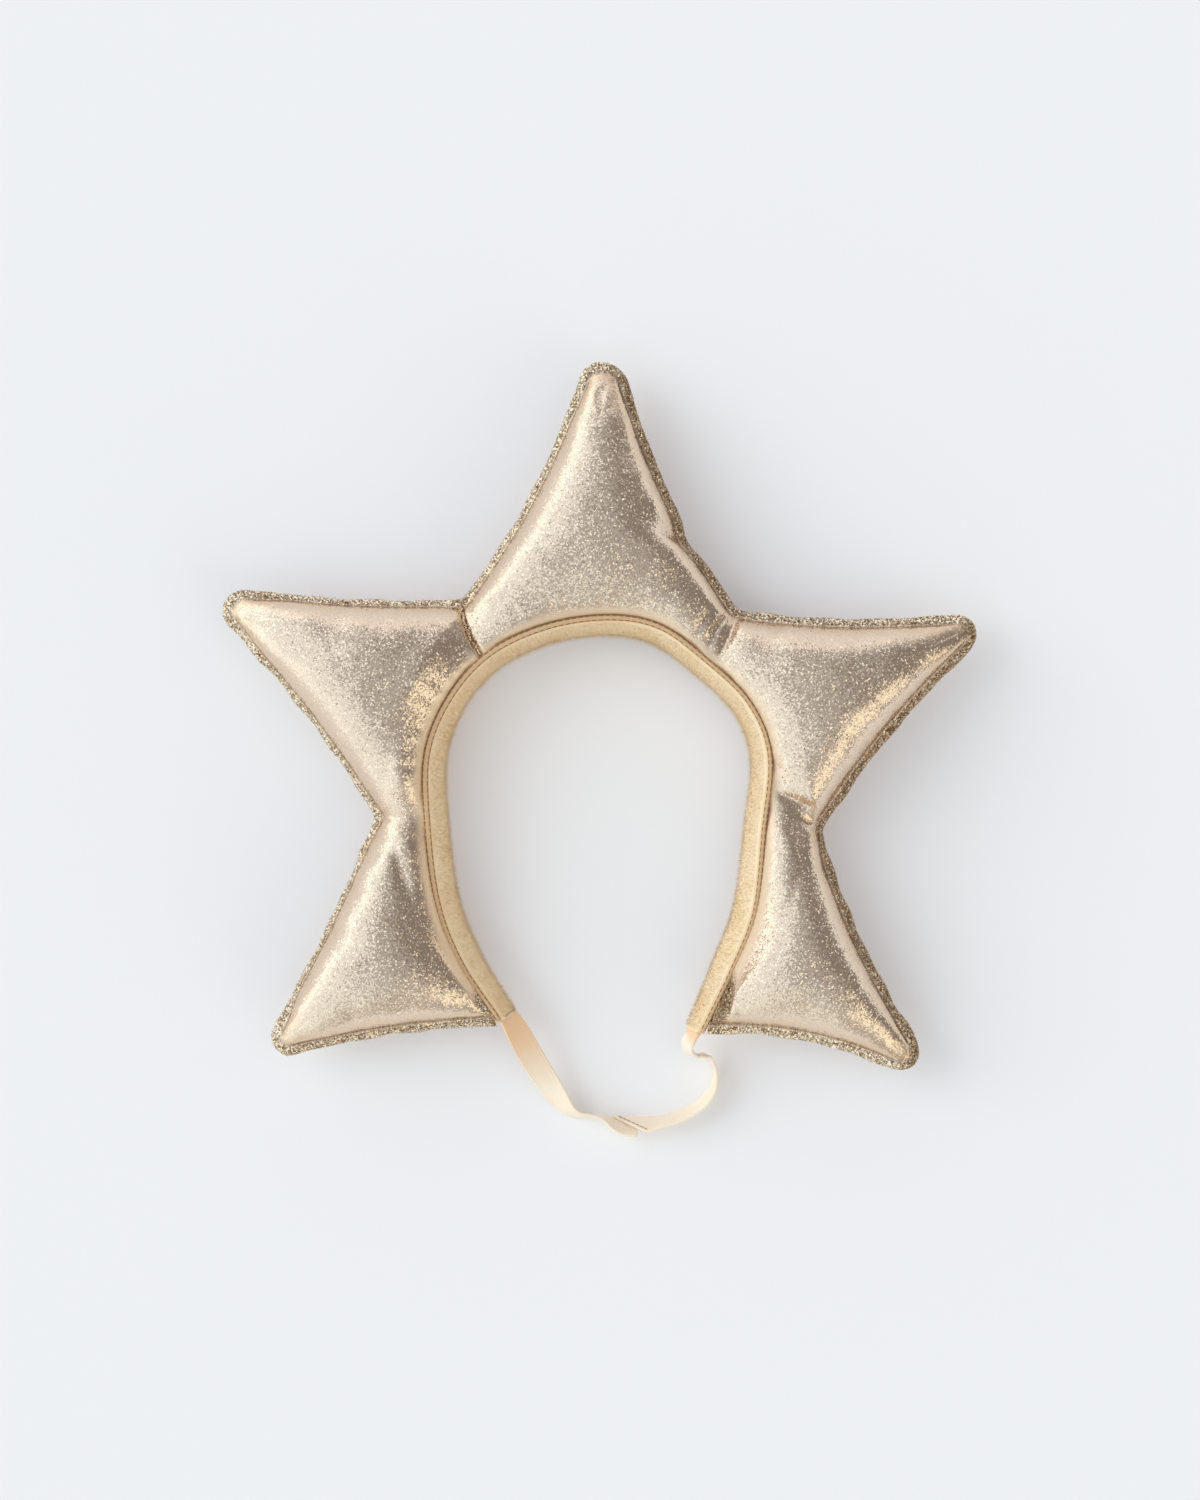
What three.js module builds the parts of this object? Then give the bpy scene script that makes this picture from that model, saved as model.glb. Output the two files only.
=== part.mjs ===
// A padded star headband that lies flat on its back, in millimetres with +Z up.
// Five stuffed points of gold glitter cloth stand round a velvet head band. A narrow welt closes the
// front seam between them, and a flat elastic of two lengths joins the ends of the band.
// The origin is on the surface that the headband lies on, below the middle of the star, and +Y goes
// to the top point.

import * as THREE from "three";

// Stuffed points
const SEAM_HEIGHT = 20; // outer seam above the surface
const FLANGE_THICKNESS = 1.4; // two layers of cloth outside the seam
const TIP_FLANGE = 4; // raw edge outside the seam round each tip
const FOLD_INSET = 4; // seam inside the raw edge at each fold
const BACK_CROWN = 23.5; // swell of the back below the seam, before the surface flattens it
const CROSS_POWER = 2.2; // how flat the middle of a point is from side to side
const CROSS_ROUND = 0.62; // how steeply the cloth leaves the seam
const TIP_POWER = 1.7; // how long a point stays full towards its tip
const TIP_ROUND = 0.75; // how round a point closes at its tip
const FULL_SHARE = 0.32; // share of a point's length over which it rises from the band
const FOLD_BLEND = 0.14; // share of an outer edge over which the seam leaves the fold
const TIP_BLEND = 0.8; // share of an outer edge after which the seam joins the tip's

// Head band
const BAND_THICKNESS = 2.4;
const BAND_FRONT = 31; // height of the front edge round the head
const BAND_BACK = 9; // height of the back edge round the head
const BAND_END_FRONT = 23.6; // the same at the two narrow ends
const BAND_END_BACK = 17.2;
const BAND_TAPER_SHARE = 0.3; // share of the band's length over which each end narrows
const BAND_BEVEL = 0.8;

// Welt on the band's front edge
const WELT_WIDTH = 2;
const WELT_HEIGHT = 1.6;
const WELT_BEVEL = 0.5;

// Elastic
const ELASTIC_WIDTH = 10;
const ELASTIC_THICKNESS = 1.3;
const ELASTIC_BEVEL = 0.4;
const LAP_SKEW = 6.5; // half of the slant of the cut end that lies on top
const LAP_LENGTH = 15; // length over which the slant grows

const CLEARANCE = 0.35; // gap between sewn pieces

// Facets
const CROSS_STEPS = 14; // across a point
const CROSS_CROWDING = 0.6; // how far columns crowd towards the seams, from 0 to 1
const FOLD_STEPS = 3; // along a fold
const EDGE_STEPS = 12; // along a point's outer edge
const BAND_STEPS = 72;
const ELASTIC_STEPS = 30;
const BAND_SAMPLES = 2000; // places tried along the band to find the one nearest to a fold

const GLITTER_CLOTH = { color: 0xc3ac8d, roughness: 0.4, metalness: 0.8 };
const VELVET = { color: 0xd2b07c, roughness: 0.9, metalness: 0 };
const WELT_CLOTH = { color: 0xc49a68, roughness: 0.8, metalness: 0 };
const ELASTIC = { color: 0xefd6b2, roughness: 0.85, metalness: 0 };

// Front edge of the head band, from its left end round the head to its right end. The back edge of the
// band lies further inside by the lean.
const BAND_ROWS = [
  { x: -40.6, y: -122.0, lean: 5.6 },
  { x: -56.0, y: -99.0, lean: 7.0 },
  { x: -65.5, y: -74.0, lean: 6.6 },
  { x: -69.6, y: -40.0, lean: 6.0 },
  { x: -69.2, y: -14.0, lean: 5.4 },
  { x: -60.0, y: 8.0, lean: 4.5 },
  { x: -44.0, y: 25.5, lean: 4.4 },
  { x: -21.0, y: 36.2, lean: 4.2 },
  { x: 4.0, y: 39.8, lean: 4.5 },
  { x: 24.2, y: 36.0, lean: 4.8 },
  { x: 42.0, y: 23.2, lean: 4.4 },
  { x: 60.0, y: 5.5, lean: 4.5 },
  { x: 68.3, y: -16.0, lean: 4.9 },
  { x: 66.0, y: -45.0, lean: 5.2 },
  { x: 62.5, y: -78.0, lean: 6.3 },
  { x: 53.5, y: -101.5, lean: 6.2 },
  { x: 41.4, y: -126.8, lean: 4.6 },
];

// Folds between the points, and the two ends of the star. The rim is the raw edge in the notch, the foot
// is where the fold meets the band, and the saddle is the height of the cloth over the seam between them.
const FOLDS = [
  { rim: { x: -40.6, y: -124.2 }, foot: { x: -43.2, y: -118.4 }, saddle: 2.0 },
  { rim: { x: -89.8, y: -40.4 }, foot: { x: -69.6, y: -39.0 }, saddle: 13.0 },
  { rim: { x: -54.8, y: 46.8 }, foot: { x: -46.4, y: 23.4 }, saddle: 8.0 },
  { rim: { x: 55.4, y: 42.4 }, foot: { x: 43.2, y: 22.0 }, saddle: 10.0 },
  { rim: { x: 89.0, y: -46.0 }, foot: { x: 67.4, y: -27.0 }, saddle: 11.0 },
  { rim: { x: 42.6, y: -127.4 }, foot: { x: 44.6, y: -120.4 }, saddle: 2.0 },
];

// Points in the order of the folds. x, y and radius are the rounded tip of the raw edge. Each of the two
// outer edges, the one that comes first along the band and the one that comes last, bows in between fold
// and tip and has its own flange.
const POINTS = [
  {
    name: "point_lower_left", x: -123.8, y: -128.2, radius: 7.6, crown: 20.5,
    first: { bow: 2.5, flange: 3.6 }, last: { bow: 1.6, flange: 2.0 },
  },
  {
    name: "point_upper_left", x: -141.4, y: 41.6, radius: 9.2, crown: 21.5,
    first: { bow: 2.8, flange: 2.4 }, last: { bow: 2.0, flange: 3.4 },
  },
  {
    name: "point_top", x: 1.4, y: 131.2, radius: 10.4, crown: 22.0,
    first: { bow: 4.3, flange: 2.8 }, last: { bow: 4.4, flange: 3.4 },
  },
  {
    name: "point_upper_right", x: 142.4, y: 32.2, radius: 8.6, crown: 21.5,
    first: { bow: 2.6, flange: 3.6 }, last: { bow: 3.0, flange: 3.8 },
  },
  {
    name: "point_lower_right", x: 119.6, y: -133.4, radius: 8.6, crown: 21.0,
    first: { bow: 3.5, flange: 3.4 }, last: { bow: 4.6, flange: 4.0 },
  },
];

// The kink in the top point's right edge, at a share of the way from fold to tip
const NOTCH = { point: "point_top", share: 0.33, reach: 0.07, depth: 2.4 };

// Hollows in the front of the cloth: middle, half lengths along and across, heading of the length in
// degrees from +X, and depth
const DENTS = [
  { x: 77, y: -35, along: 11, across: 5, heading: 35, depth: 3.0 },
  { x: 82, y: -43, along: 7, across: 5, heading: -60, depth: 2.0 },
  { x: 48, y: 30, along: 12, across: 4, heading: 60, depth: 2.4 },
  { x: -78, y: -39, along: 12, across: 6, heading: 5, depth: 1.6 },
  { x: 30, y: 70, along: 12, across: 4, heading: 150, depth: 1.8 },
];

// Elastic from each end of the band to the joint: middle of the strap, and how far its upper face turns
// from straight up to the right hand of its run, in degrees
const ELASTIC_LEFT_ROWS = [
  { x: -36.7, y: -120.0, z: 20.4, turn: -44 },
  { x: -34.8, y: -122.9, z: 20.0, turn: -36 },
  { x: -32.0, y: -128.0, z: 18.0, turn: -20 },
  { x: -28.2, y: -135.2, z: 14.2, turn: -6 },
  { x: -23.2, y: -144.0, z: 9.8, turn: 8 },
  { x: -18.2, y: -151.8, z: 6.9, turn: 28 },
  { x: -12.8, y: -158.6, z: 5.6, turn: 57 },
  { x: -8.0, y: -161.0, z: 5.5, turn: 77 },
  { x: -3.2, y: -161.4, z: 5.5, turn: 84 },
  { x: 1.4, y: -162.2, z: 5.5, turn: 94 },
  { x: 5.6, y: -164.4, z: 5.1, turn: 114 },
  { x: 10.2, y: -165.8, z: 4.7, turn: 128 },
  { x: 15.4, y: -166.4, z: 4.5, turn: 130 },
];
const ELASTIC_RIGHT_ROWS = [
  { x: 37.7, y: -125.7, z: 20.4, turn: 46 },
  { x: 36.4, y: -128.6, z: 20.0, turn: 48 },
  { x: 35.6, y: -132.0, z: 17.6, turn: 56 },
  { x: 36.8, y: -135.0, z: 14.2, turn: 68 },
  { x: 39.8, y: -136.6, z: 10.9, turn: 80 },
  { x: 43.4, y: -137.4, z: 8.2, turn: 88 },
  { x: 46.2, y: -140.6, z: 6.4, turn: 88 },
  { x: 47.0, y: -145.4, z: 5.7, turn: 84 },
  { x: 45.8, y: -150.4, z: 5.6, turn: 72 },
  { x: 43.0, y: -154.8, z: 5.4, turn: 65 },
  { x: 38.4, y: -158.6, z: 5.3, turn: 62 },
  { x: 31.0, y: -162.2, z: 5.3, turn: 59 },
  { x: 24.4, y: -163.8, z: 5.6, turn: 56 },
  { x: 18.2, y: -164.4, z: 6.1, turn: 52 },
  { x: 12.0, y: -164.6, z: 6.3, turn: 49 },
];

const { lerp, smoothstep, degToRad } = THREE.MathUtils;

// Points on a plan are two-component vectors, with the height kept apart
function plan(row) {
  return new THREE.Vector2(row.x, row.y);
}

function spline(rows, height) {
  const knots = rows.map((row) => new THREE.Vector3(row.x, row.y, height(row)));
  return new THREE.CatmullRomCurve3(knots, false, "catmullrom", 0.5);
}

// A column of a table, read between its rows at the curve parameter t
function column(rows, t, name) {
  const place = t * (rows.length - 1);
  const row = Math.min(Math.floor(place), rows.length - 2);
  return lerp(rows[row][name], rows[row + 1][name], place - row);
}

const bandCurve = spline(BAND_ROWS, () => 0);

// The band's front edge at a share of its length, with the direction into the head opening and the
// heights of both edges
function bandAt(share) {
  const t = bandCurve.getUtoTmapping(share);
  const point = bandCurve.getPoint(t);
  const heading = bandCurve.getTangent(t);
  const fromEnd = Math.min(share, 1 - share);
  const widening = smoothstep(fromEnd, 0, BAND_TAPER_SHARE);
  return {
    point: new THREE.Vector2(point.x, point.y),
    inward: new THREE.Vector2(heading.y, -heading.x),
    lean: column(BAND_ROWS, t, "lean"),
    front: lerp(BAND_END_FRONT, BAND_FRONT, widening),
    back: lerp(BAND_END_BACK, BAND_BACK, widening),
  };
}

// Share of the band's length that lies nearest to a point of the plan
function nearestShare(target) {
  let best = 0;
  let bestDistance = Infinity;
  for (let i = 0; i <= BAND_SAMPLES; i += 1) {
    const point = bandCurve.getPoint(i / BAND_SAMPLES);
    const distance = Math.hypot(point.x - target.x, point.y - target.y);
    if (distance < bestDistance) {
      bestDistance = distance;
      best = i / BAND_SAMPLES;
    }
  }
  const lengths = bandCurve.getLengths(BAND_SAMPLES);
  return lengths[Math.round(best * BAND_SAMPLES)] / lengths[BAND_SAMPLES];
}

// One outer edge of a point from its fold to its tip: the raw edge and the seam inside it. The sign is
// +1 where the inside lies to the right of that run and -1 where it lies to the left.
function outerEdge(point, edge, corner, tipAngle, sign) {
  const tip = plan(point);
  const tipDirection = new THREE.Vector2(Math.cos(tipAngle), Math.sin(tipAngle));
  const end = tip.clone().addScaledVector(tipDirection, point.radius);
  const run = end.clone().sub(corner.rim);
  const inside = new THREE.Vector2(run.y, -run.x).normalize().multiplyScalar(sign);
  const notched = point.name === NOTCH.point && sign < 0;
  const steps = [];
  for (let i = 0; i <= EDGE_STEPS; i += 1) {
    const share = i / EDGE_STEPS;
    let bow = edge.bow * 4 * share * (1 - share);
    if (notched) {
      bow += NOTCH.depth * Math.exp(-(((share - NOTCH.share) / NOTCH.reach) ** 2));
    }
    const raw = corner.rim.clone().addScaledVector(run, share).addScaledVector(inside, bow);
    const inset = inside.clone().multiplyScalar(edge.flange);
    const atFold = corner.seam.clone().sub(corner.rim);
    const atTip = tipDirection.clone().multiplyScalar(-TIP_FLANGE);
    inset.lerp(atFold, 1 - smoothstep(share, 0, FOLD_BLEND));
    inset.lerp(atTip, smoothstep(share, TIP_BLEND, 1));
    steps.push({ raw, seam: raw.clone().add(inset) });
  }
  return steps;
}

// Angle of the tip circle where an outer edge from the fold touches it
function touchAngle(point, edge, corner, sign) {
  const toFold = corner.rim.clone().sub(plan(point));
  const distance = toFold.length();
  const bowTurn = (4 * edge.bow) / distance;
  return toFold.angle() - sign * (Math.acos(point.radius / distance) - bowTurn);
}

// The rim, seam and foot of a fold on the side of one of the two points that meet there
function foldCorner(fold, side) {
  const rim = plan(fold.rim);
  const foot = plan(fold.foot);
  const run = foot.clone().sub(rim).normalize();
  const aside = new THREE.Vector2(-run.y, run.x).multiplyScalar(side * CLEARANCE * 0.5);
  const share = nearestShare(foot);
  const band = bandAt(share);
  const backFoot = band.point.clone().addScaledVector(band.inward, band.lean);
  return {
    share,
    saddle: fold.saddle,
    rim: rim.clone().add(aside),
    seam: rim.clone().addScaledVector(run, FOLD_INSET).add(aside),
    frontFoot: band.point.clone().add(aside),
    backFoot: backFoot.add(aside),
  };
}

// Height over the seam along a fold, from the band to the seam's corner
function foldHeight(share, atBand, saddle) {
  const atSeam = FLANGE_THICKNESS / 2;
  const control = 2 * saddle - 0.5 * (atBand + atSeam);
  const rest = 1 - share;
  return rest * rest * atBand + 2 * share * rest * control + share * share * atSeam;
}

// Height over the seam along the middle of a point, from the band to the tip
function ridgeHeight(share, atBand, crown) {
  if (share < FULL_SHARE) {
    const left = 1 - share / FULL_SHARE;
    return atBand + (crown - atBand) * Math.sqrt(1 - left * left);
  }
  const gone = (share - FULL_SHARE) / (1 - FULL_SHARE);
  return crown * (1 - gone ** TIP_POWER) ** TIP_ROUND;
}

function dentDepth(spot) {
  let depth = 0;
  for (const dent of DENTS) {
    const heading = degToRad(dent.heading);
    const offset = spot.clone().sub(plan(dent));
    offset.rotateAround(new THREE.Vector2(), -heading);
    depth += dent.depth * Math.exp(-((offset.x / dent.along) ** 2) - (offset.y / dent.across) ** 2);
  }
  return depth;
}

// A patch of plan points between four sides: the band, the tip and the two side runs
function planPatch(bandSide, tipSide, firstSide, lastSide, crossShares, rowShares) {
  const corners = [firstSide[0], lastSide[0], firstSide.at(-1), lastSide.at(-1)];
  return rowShares.map((v, row) =>
    crossShares.map((u, step) => {
      const spot = new THREE.Vector2();
      spot.addScaledVector(bandSide[step], 1 - v);
      spot.addScaledVector(tipSide[step], v);
      spot.addScaledVector(firstSide[row], 1 - u);
      spot.addScaledVector(lastSide[row], u);
      spot.addScaledVector(corners[0], -(1 - u) * (1 - v));
      spot.addScaledVector(corners[1], -u * (1 - v));
      spot.addScaledVector(corners[2], -(1 - u) * v);
      spot.addScaledVector(corners[3], -u * v);
      return spot;
    }),
  );
}

// Collects the corners and triangles of one closed mesh
class MeshBuilder {
  constructor() {
    this.positions = [];
    this.indices = [];
  }

  add(spot, height) {
    this.positions.push(spot.x, spot.y, height);
    return this.positions.length / 3 - 1;
  }

  quad(a, b, c, d) {
    this.indices.push(a, b, c, a, c, d);
  }

  geometry() {
    const geometry = new THREE.BufferGeometry();
    geometry.setAttribute("position", new THREE.Float32BufferAttribute(this.positions, 3));
    geometry.setIndex(this.indices);
    geometry.computeVertexNormals();
    return geometry;
  }
}

// One stuffed point between two folds
function stuffedPoint(point, firstFold, lastFold) {
  const first = foldCorner(firstFold, 1);
  const last = foldCorner(lastFold, -1);
  const firstAngle = touchAngle(point, point.first, first, 1);
  let lastAngle = touchAngle(point, point.last, last, -1);
  while (lastAngle > firstAngle) {
    lastAngle -= 2 * Math.PI;
  }
  while (firstAngle - lastAngle > 2 * Math.PI) {
    lastAngle += 2 * Math.PI;
  }
  const firstEdge = outerEdge(point, point.first, first, firstAngle, 1);
  const lastEdge = outerEdge(point, point.last, last, lastAngle, -1);

  // Columns crowd towards the seams, where the cloth turns fastest
  const crossShares = Array.from({ length: CROSS_STEPS + 1 }, (_, step) => {
    const even = step / CROSS_STEPS;
    return lerp(even, 0.5 - 0.5 * Math.cos(Math.PI * even), CROSS_CROWDING);
  });
  const foldLength = first.frontFoot.distanceTo(first.seam) + last.frontFoot.distanceTo(last.seam);
  const edgeLength = first.rim.distanceTo(plan(point)) + last.rim.distanceTo(plan(point));
  const foldShare = foldLength / (foldLength + edgeLength);
  const rowShares = [];
  for (let row = 0; row < FOLD_STEPS; row += 1) {
    rowShares.push((foldShare * row) / FOLD_STEPS);
  }
  for (let row = 0; row <= EDGE_STEPS; row += 1) {
    rowShares.push(lerp(foldShare, 1, row / EDGE_STEPS));
  }

  const band = crossShares.map((u) => bandAt(lerp(first.share, last.share, u)));
  const tipDirections = crossShares.map((u) => {
    const angle = lerp(firstAngle, lastAngle, u);
    return new THREE.Vector2(Math.cos(angle), Math.sin(angle));
  });
  const tipRaw = tipDirections.map((way) => plan(point).addScaledVector(way, point.radius));
  const tipSeam = tipDirections.map((way) => plan(point).addScaledVector(way, point.radius - TIP_FLANGE));

  // A side of the patch: along the fold from the band to the seam's corner, then along the seam
  const sideRun = (foot, corner, edge) => {
    const run = [];
    for (let row = 0; row < FOLD_STEPS; row += 1) {
      run.push(foot.clone().lerp(corner.seam, row / FOLD_STEPS));
    }
    return run.concat(edge.map((step) => step.seam));
  };
  const patchFrom = (bandSide, footName) => {
    const inner = bandSide.slice();
    inner[0] = first[footName];
    inner[CROSS_STEPS] = last[footName];
    const firstSide = sideRun(first[footName], first, firstEdge);
    const lastSide = sideRun(last[footName], last, lastEdge);
    return planPatch(inner, tipSeam, firstSide, lastSide, crossShares, rowShares);
  };
  const frontPatch = patchFrom(band.map((edge) => edge.point), "frontFoot");
  const backPatch = patchFrom(
    band.map((edge) => edge.point.clone().addScaledVector(edge.inward, edge.lean)),
    "backFoot",
  );

  const halfFlange = FLANGE_THICKNESS / 2;
  const swell = (row, step, crown, bandHeights) => {
    if (row === 0) {
      return bandHeights[step];
    }
    const v = rowShares[row];
    const u = crossShares[step];
    const alongFold = Math.min(row / FOLD_STEPS, 1);
    const atFirst = foldHeight(alongFold, bandHeights[0], first.saddle);
    const atLast = foldHeight(alongFold, bandHeights[CROSS_STEPS], last.saddle);
    const middle = bandHeights[CROSS_STEPS / 2];
    const rise = ridgeHeight(v, middle, crown) - 0.5 * (atFirst + atLast);
    const cross = (1 - Math.abs(2 * u - 1) ** CROSS_POWER) ** CROSS_ROUND;
    return Math.max(lerp(atFirst, atLast, u) + rise * cross, halfFlange);
  };

  const mesh = new MeshBuilder();
  const frontRise = band.map((edge) => edge.front - SEAM_HEIGHT);
  const backDrop = band.map((edge) => SEAM_HEIGHT - edge.back);
  const isSeam = (row, step) =>
    row >= FOLD_STEPS && (step === 0 || step === CROSS_STEPS || row === rowShares.length - 1);
  const front = frontPatch.map((spots, row) =>
    spots.map((spot, step) => {
      const dent = row === 0 || isSeam(row, step) ? 0 : dentDepth(spot);
      const height = Math.max(swell(row, step, point.crown, frontRise) - dent, halfFlange);
      return mesh.add(spot, SEAM_HEIGHT + height);
    }),
  );
  const back = backPatch.map((spots, row) =>
    spots.map((spot, step) => {
      const height = SEAM_HEIGHT - swell(row, step, BACK_CROWN, backDrop);
      return mesh.add(spot, Math.max(height, 0));
    }),
  );

  const lastRow = rowShares.length - 1;
  for (let row = 0; row < lastRow; row += 1) {
    for (let step = 0; step < CROSS_STEPS; step += 1) {
      mesh.quad(front[row][step], front[row][step + 1], front[row + 1][step + 1], front[row + 1][step]);
      mesh.quad(back[row][step], back[row + 1][step], back[row + 1][step + 1], back[row][step + 1]);
    }
  }
  for (let step = 0; step < CROSS_STEPS; step += 1) {
    mesh.quad(front[0][step], back[0][step], back[0][step + 1], front[0][step + 1]);
  }
  for (let row = 0; row < FOLD_STEPS; row += 1) {
    const next = row + 1;
    mesh.quad(front[row][0], front[next][0], back[next][0], back[row][0]);
    mesh.quad(
      back[next][CROSS_STEPS],
      front[next][CROSS_STEPS],
      front[row][CROSS_STEPS],
      back[row][CROSS_STEPS],
    );
  }

  // The flange follows the seam from the first fold round the tip to the last fold
  const rim = [];
  for (let step = 0; step < EDGE_STEPS; step += 1) {
    rim.push({ raw: firstEdge[step].raw, row: FOLD_STEPS + step, step: 0 });
  }
  for (let step = 0; step <= CROSS_STEPS; step += 1) {
    rim.push({ raw: tipRaw[step], row: lastRow, step });
  }
  for (let step = EDGE_STEPS - 1; step >= 0; step -= 1) {
    rim.push({ raw: lastEdge[step].raw, row: FOLD_STEPS + step, step: CROSS_STEPS });
  }
  const flange = rim.map(({ raw, row, step }) => ({
    seamTop: front[row][step],
    seamBottom: back[row][step],
    rawTop: mesh.add(raw, SEAM_HEIGHT + halfFlange),
    rawBottom: mesh.add(raw, SEAM_HEIGHT - halfFlange),
  }));
  for (let i = 0; i + 1 < flange.length; i += 1) {
    const here = flange[i];
    const next = flange[i + 1];
    mesh.quad(here.seamTop, next.seamTop, next.rawTop, here.rawTop);
    mesh.quad(here.rawTop, next.rawTop, next.rawBottom, here.rawBottom);
    mesh.quad(here.rawBottom, next.rawBottom, next.seamBottom, here.seamBottom);
  }
  const start = flange[0];
  const end = flange.at(-1);
  mesh.quad(start.seamTop, start.rawTop, start.rawBottom, start.seamBottom);
  mesh.quad(end.seamTop, end.seamBottom, end.rawBottom, end.rawTop);
  return mesh.geometry();
}

// A closed solid from a list of stations, each an equally long ring of corners
function sweep(stations) {
  const mesh = new MeshBuilder();
  const rings = stations.map((ring) => ring.map((corner) => mesh.add(corner, corner.z)));
  const sides = rings[0].length;
  for (let i = 0; i + 1 < rings.length; i += 1) {
    for (let side = 0; side < sides; side += 1) {
      const next = (side + 1) % sides;
      mesh.quad(rings[i][side], rings[i + 1][side], rings[i + 1][next], rings[i][next]);
    }
  }
  const cap = (ring, forward) => {
    for (let side = 1; side + 1 < sides; side += 1) {
      const pair = forward ? [ring[side], ring[side + 1]] : [ring[side + 1], ring[side]];
      mesh.indices.push(ring[0], ...pair);
    }
  };
  cap(rings[0], true);
  cap(rings.at(-1), false);
  return mesh.geometry();
}

// A rectangle with bevelled corners, from its middle
function bevelledSection(width, height, bevel) {
  const x = width / 2;
  const y = height / 2;
  return [
    { x: x - bevel, y: -y },
    { x: x, y: -y + bevel },
    { x: x, y: y - bevel },
    { x: x - bevel, y: y },
    { x: -x + bevel, y: y },
    { x: -x, y: y - bevel },
    { x: -x, y: -y + bevel },
    { x: -x + bevel, y: -y },
  ];
}

// The head band: a strip that leans inwards from its front edge to its back edge
function headBand() {
  const stations = [];
  for (let i = 0; i <= BAND_STEPS; i += 1) {
    const edge = bandAt(i / BAND_STEPS);
    const width = edge.front - edge.back;
    const ring = bevelledSection(BAND_THICKNESS, width, BAND_BEVEL).map((corner) => {
      const share = 0.5 - corner.y / width;
      const inward = CLEARANCE + BAND_THICKNESS / 2 + corner.x + edge.lean * share;
      const spot = edge.point.clone().addScaledVector(edge.inward, inward);
      return new THREE.Vector3(spot.x, spot.y, lerp(edge.front, edge.back, share));
    });
    stations.push(ring);
  }
  return sweep(stations);
}

// The welt: a narrow strip that lies on the band's front edge
function frontWelt() {
  const stations = [];
  for (let i = 0; i <= BAND_STEPS; i += 1) {
    const edge = bandAt(i / BAND_STEPS);
    const ring = bevelledSection(WELT_WIDTH, WELT_HEIGHT, WELT_BEVEL).map((corner) => {
      const inward = CLEARANCE + WELT_WIDTH / 2 + corner.x;
      const spot = edge.point.clone().addScaledVector(edge.inward, inward);
      return new THREE.Vector3(spot.x, spot.y, edge.front + CLEARANCE + WELT_HEIGHT / 2 + corner.y);
    });
    stations.push(ring);
  }
  return sweep(stations);
}

// A length of flat elastic along its rows, with its last end cut square or slanted
function elastic(rows, skew) {
  const route = spline(rows, (row) => row.z);
  const length = route.getLength();
  const section = bevelledSection(ELASTIC_WIDTH, ELASTIC_THICKNESS, ELASTIC_BEVEL);
  const stations = [];
  for (let i = 0; i <= ELASTIC_STEPS; i += 1) {
    const share = i / ELASTIC_STEPS;
    const t = route.getUtoTmapping(share);
    const middle = route.getPoint(t);
    const heading = route.getTangent(t);
    const right = new THREE.Vector3(heading.y, -heading.x, 0).normalize();
    const up = new THREE.Vector3().crossVectors(right, heading);
    const turn = degToRad(column(rows, t, "turn"));
    const across = right.clone().multiplyScalar(Math.cos(turn)).addScaledVector(up, -Math.sin(turn));
    const face = up.clone().multiplyScalar(Math.cos(turn)).addScaledVector(right, Math.sin(turn));
    const slant = skew * smoothstep(share * length, length - LAP_LENGTH, length);
    const ring = section.map((corner) => {
      const spot = middle.clone().addScaledVector(across, corner.x).addScaledVector(face, corner.y);
      return spot.addScaledVector(heading, (slant * corner.x) / (ELASTIC_WIDTH / 2));
    });
    stations.push(ring);
  }
  return sweep(stations);
}

function mesh(name, geometry, finish) {
  const piece = new THREE.Mesh(geometry, new THREE.MeshStandardMaterial(finish));
  piece.name = name;
  return piece;
}

const headband = new THREE.Group();
POINTS.forEach((point, i) => {
  headband.add(mesh(point.name, stuffedPoint(point, FOLDS[i], FOLDS[i + 1]), GLITTER_CLOTH));
});
headband.add(mesh("band", headBand(), VELVET));
headband.add(mesh("front_welt", frontWelt(), WELT_CLOTH));
headband.add(mesh("elastic_left", elastic(ELASTIC_LEFT_ROWS, 0), ELASTIC));
headband.add(mesh("elastic_right", elastic(ELASTIC_RIGHT_ROWS, LAP_SKEW), ELASTIC));

export default headband;
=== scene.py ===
import math
from types import SimpleNamespace

import bmesh
import bpy
import numpy as np
from mathutils.kdtree import KDTree
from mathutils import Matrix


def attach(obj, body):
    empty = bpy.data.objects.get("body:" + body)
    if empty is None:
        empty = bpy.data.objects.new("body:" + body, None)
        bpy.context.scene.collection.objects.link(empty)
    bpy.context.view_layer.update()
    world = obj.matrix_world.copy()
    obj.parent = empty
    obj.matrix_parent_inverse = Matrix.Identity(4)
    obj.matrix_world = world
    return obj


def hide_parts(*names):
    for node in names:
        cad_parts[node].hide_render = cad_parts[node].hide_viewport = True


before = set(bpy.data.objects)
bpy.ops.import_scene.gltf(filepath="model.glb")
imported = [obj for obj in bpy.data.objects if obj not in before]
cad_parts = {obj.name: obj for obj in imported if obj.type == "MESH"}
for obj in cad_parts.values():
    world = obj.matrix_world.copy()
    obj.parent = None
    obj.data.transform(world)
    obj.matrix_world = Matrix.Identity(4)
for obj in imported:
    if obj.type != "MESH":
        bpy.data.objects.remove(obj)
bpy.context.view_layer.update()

# A padded star headband in gold glitter cloth, on its back on a pale floor, seen from straight above.
# Shapes are worked out in millimetres in the frame of the solids, and become metres in Skin.mesh.

MM = 0.001


def table(columns, *rows):
    """Rows with named columns."""
    return [dict(zip(columns.split(), row)) for row in rows]


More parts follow.
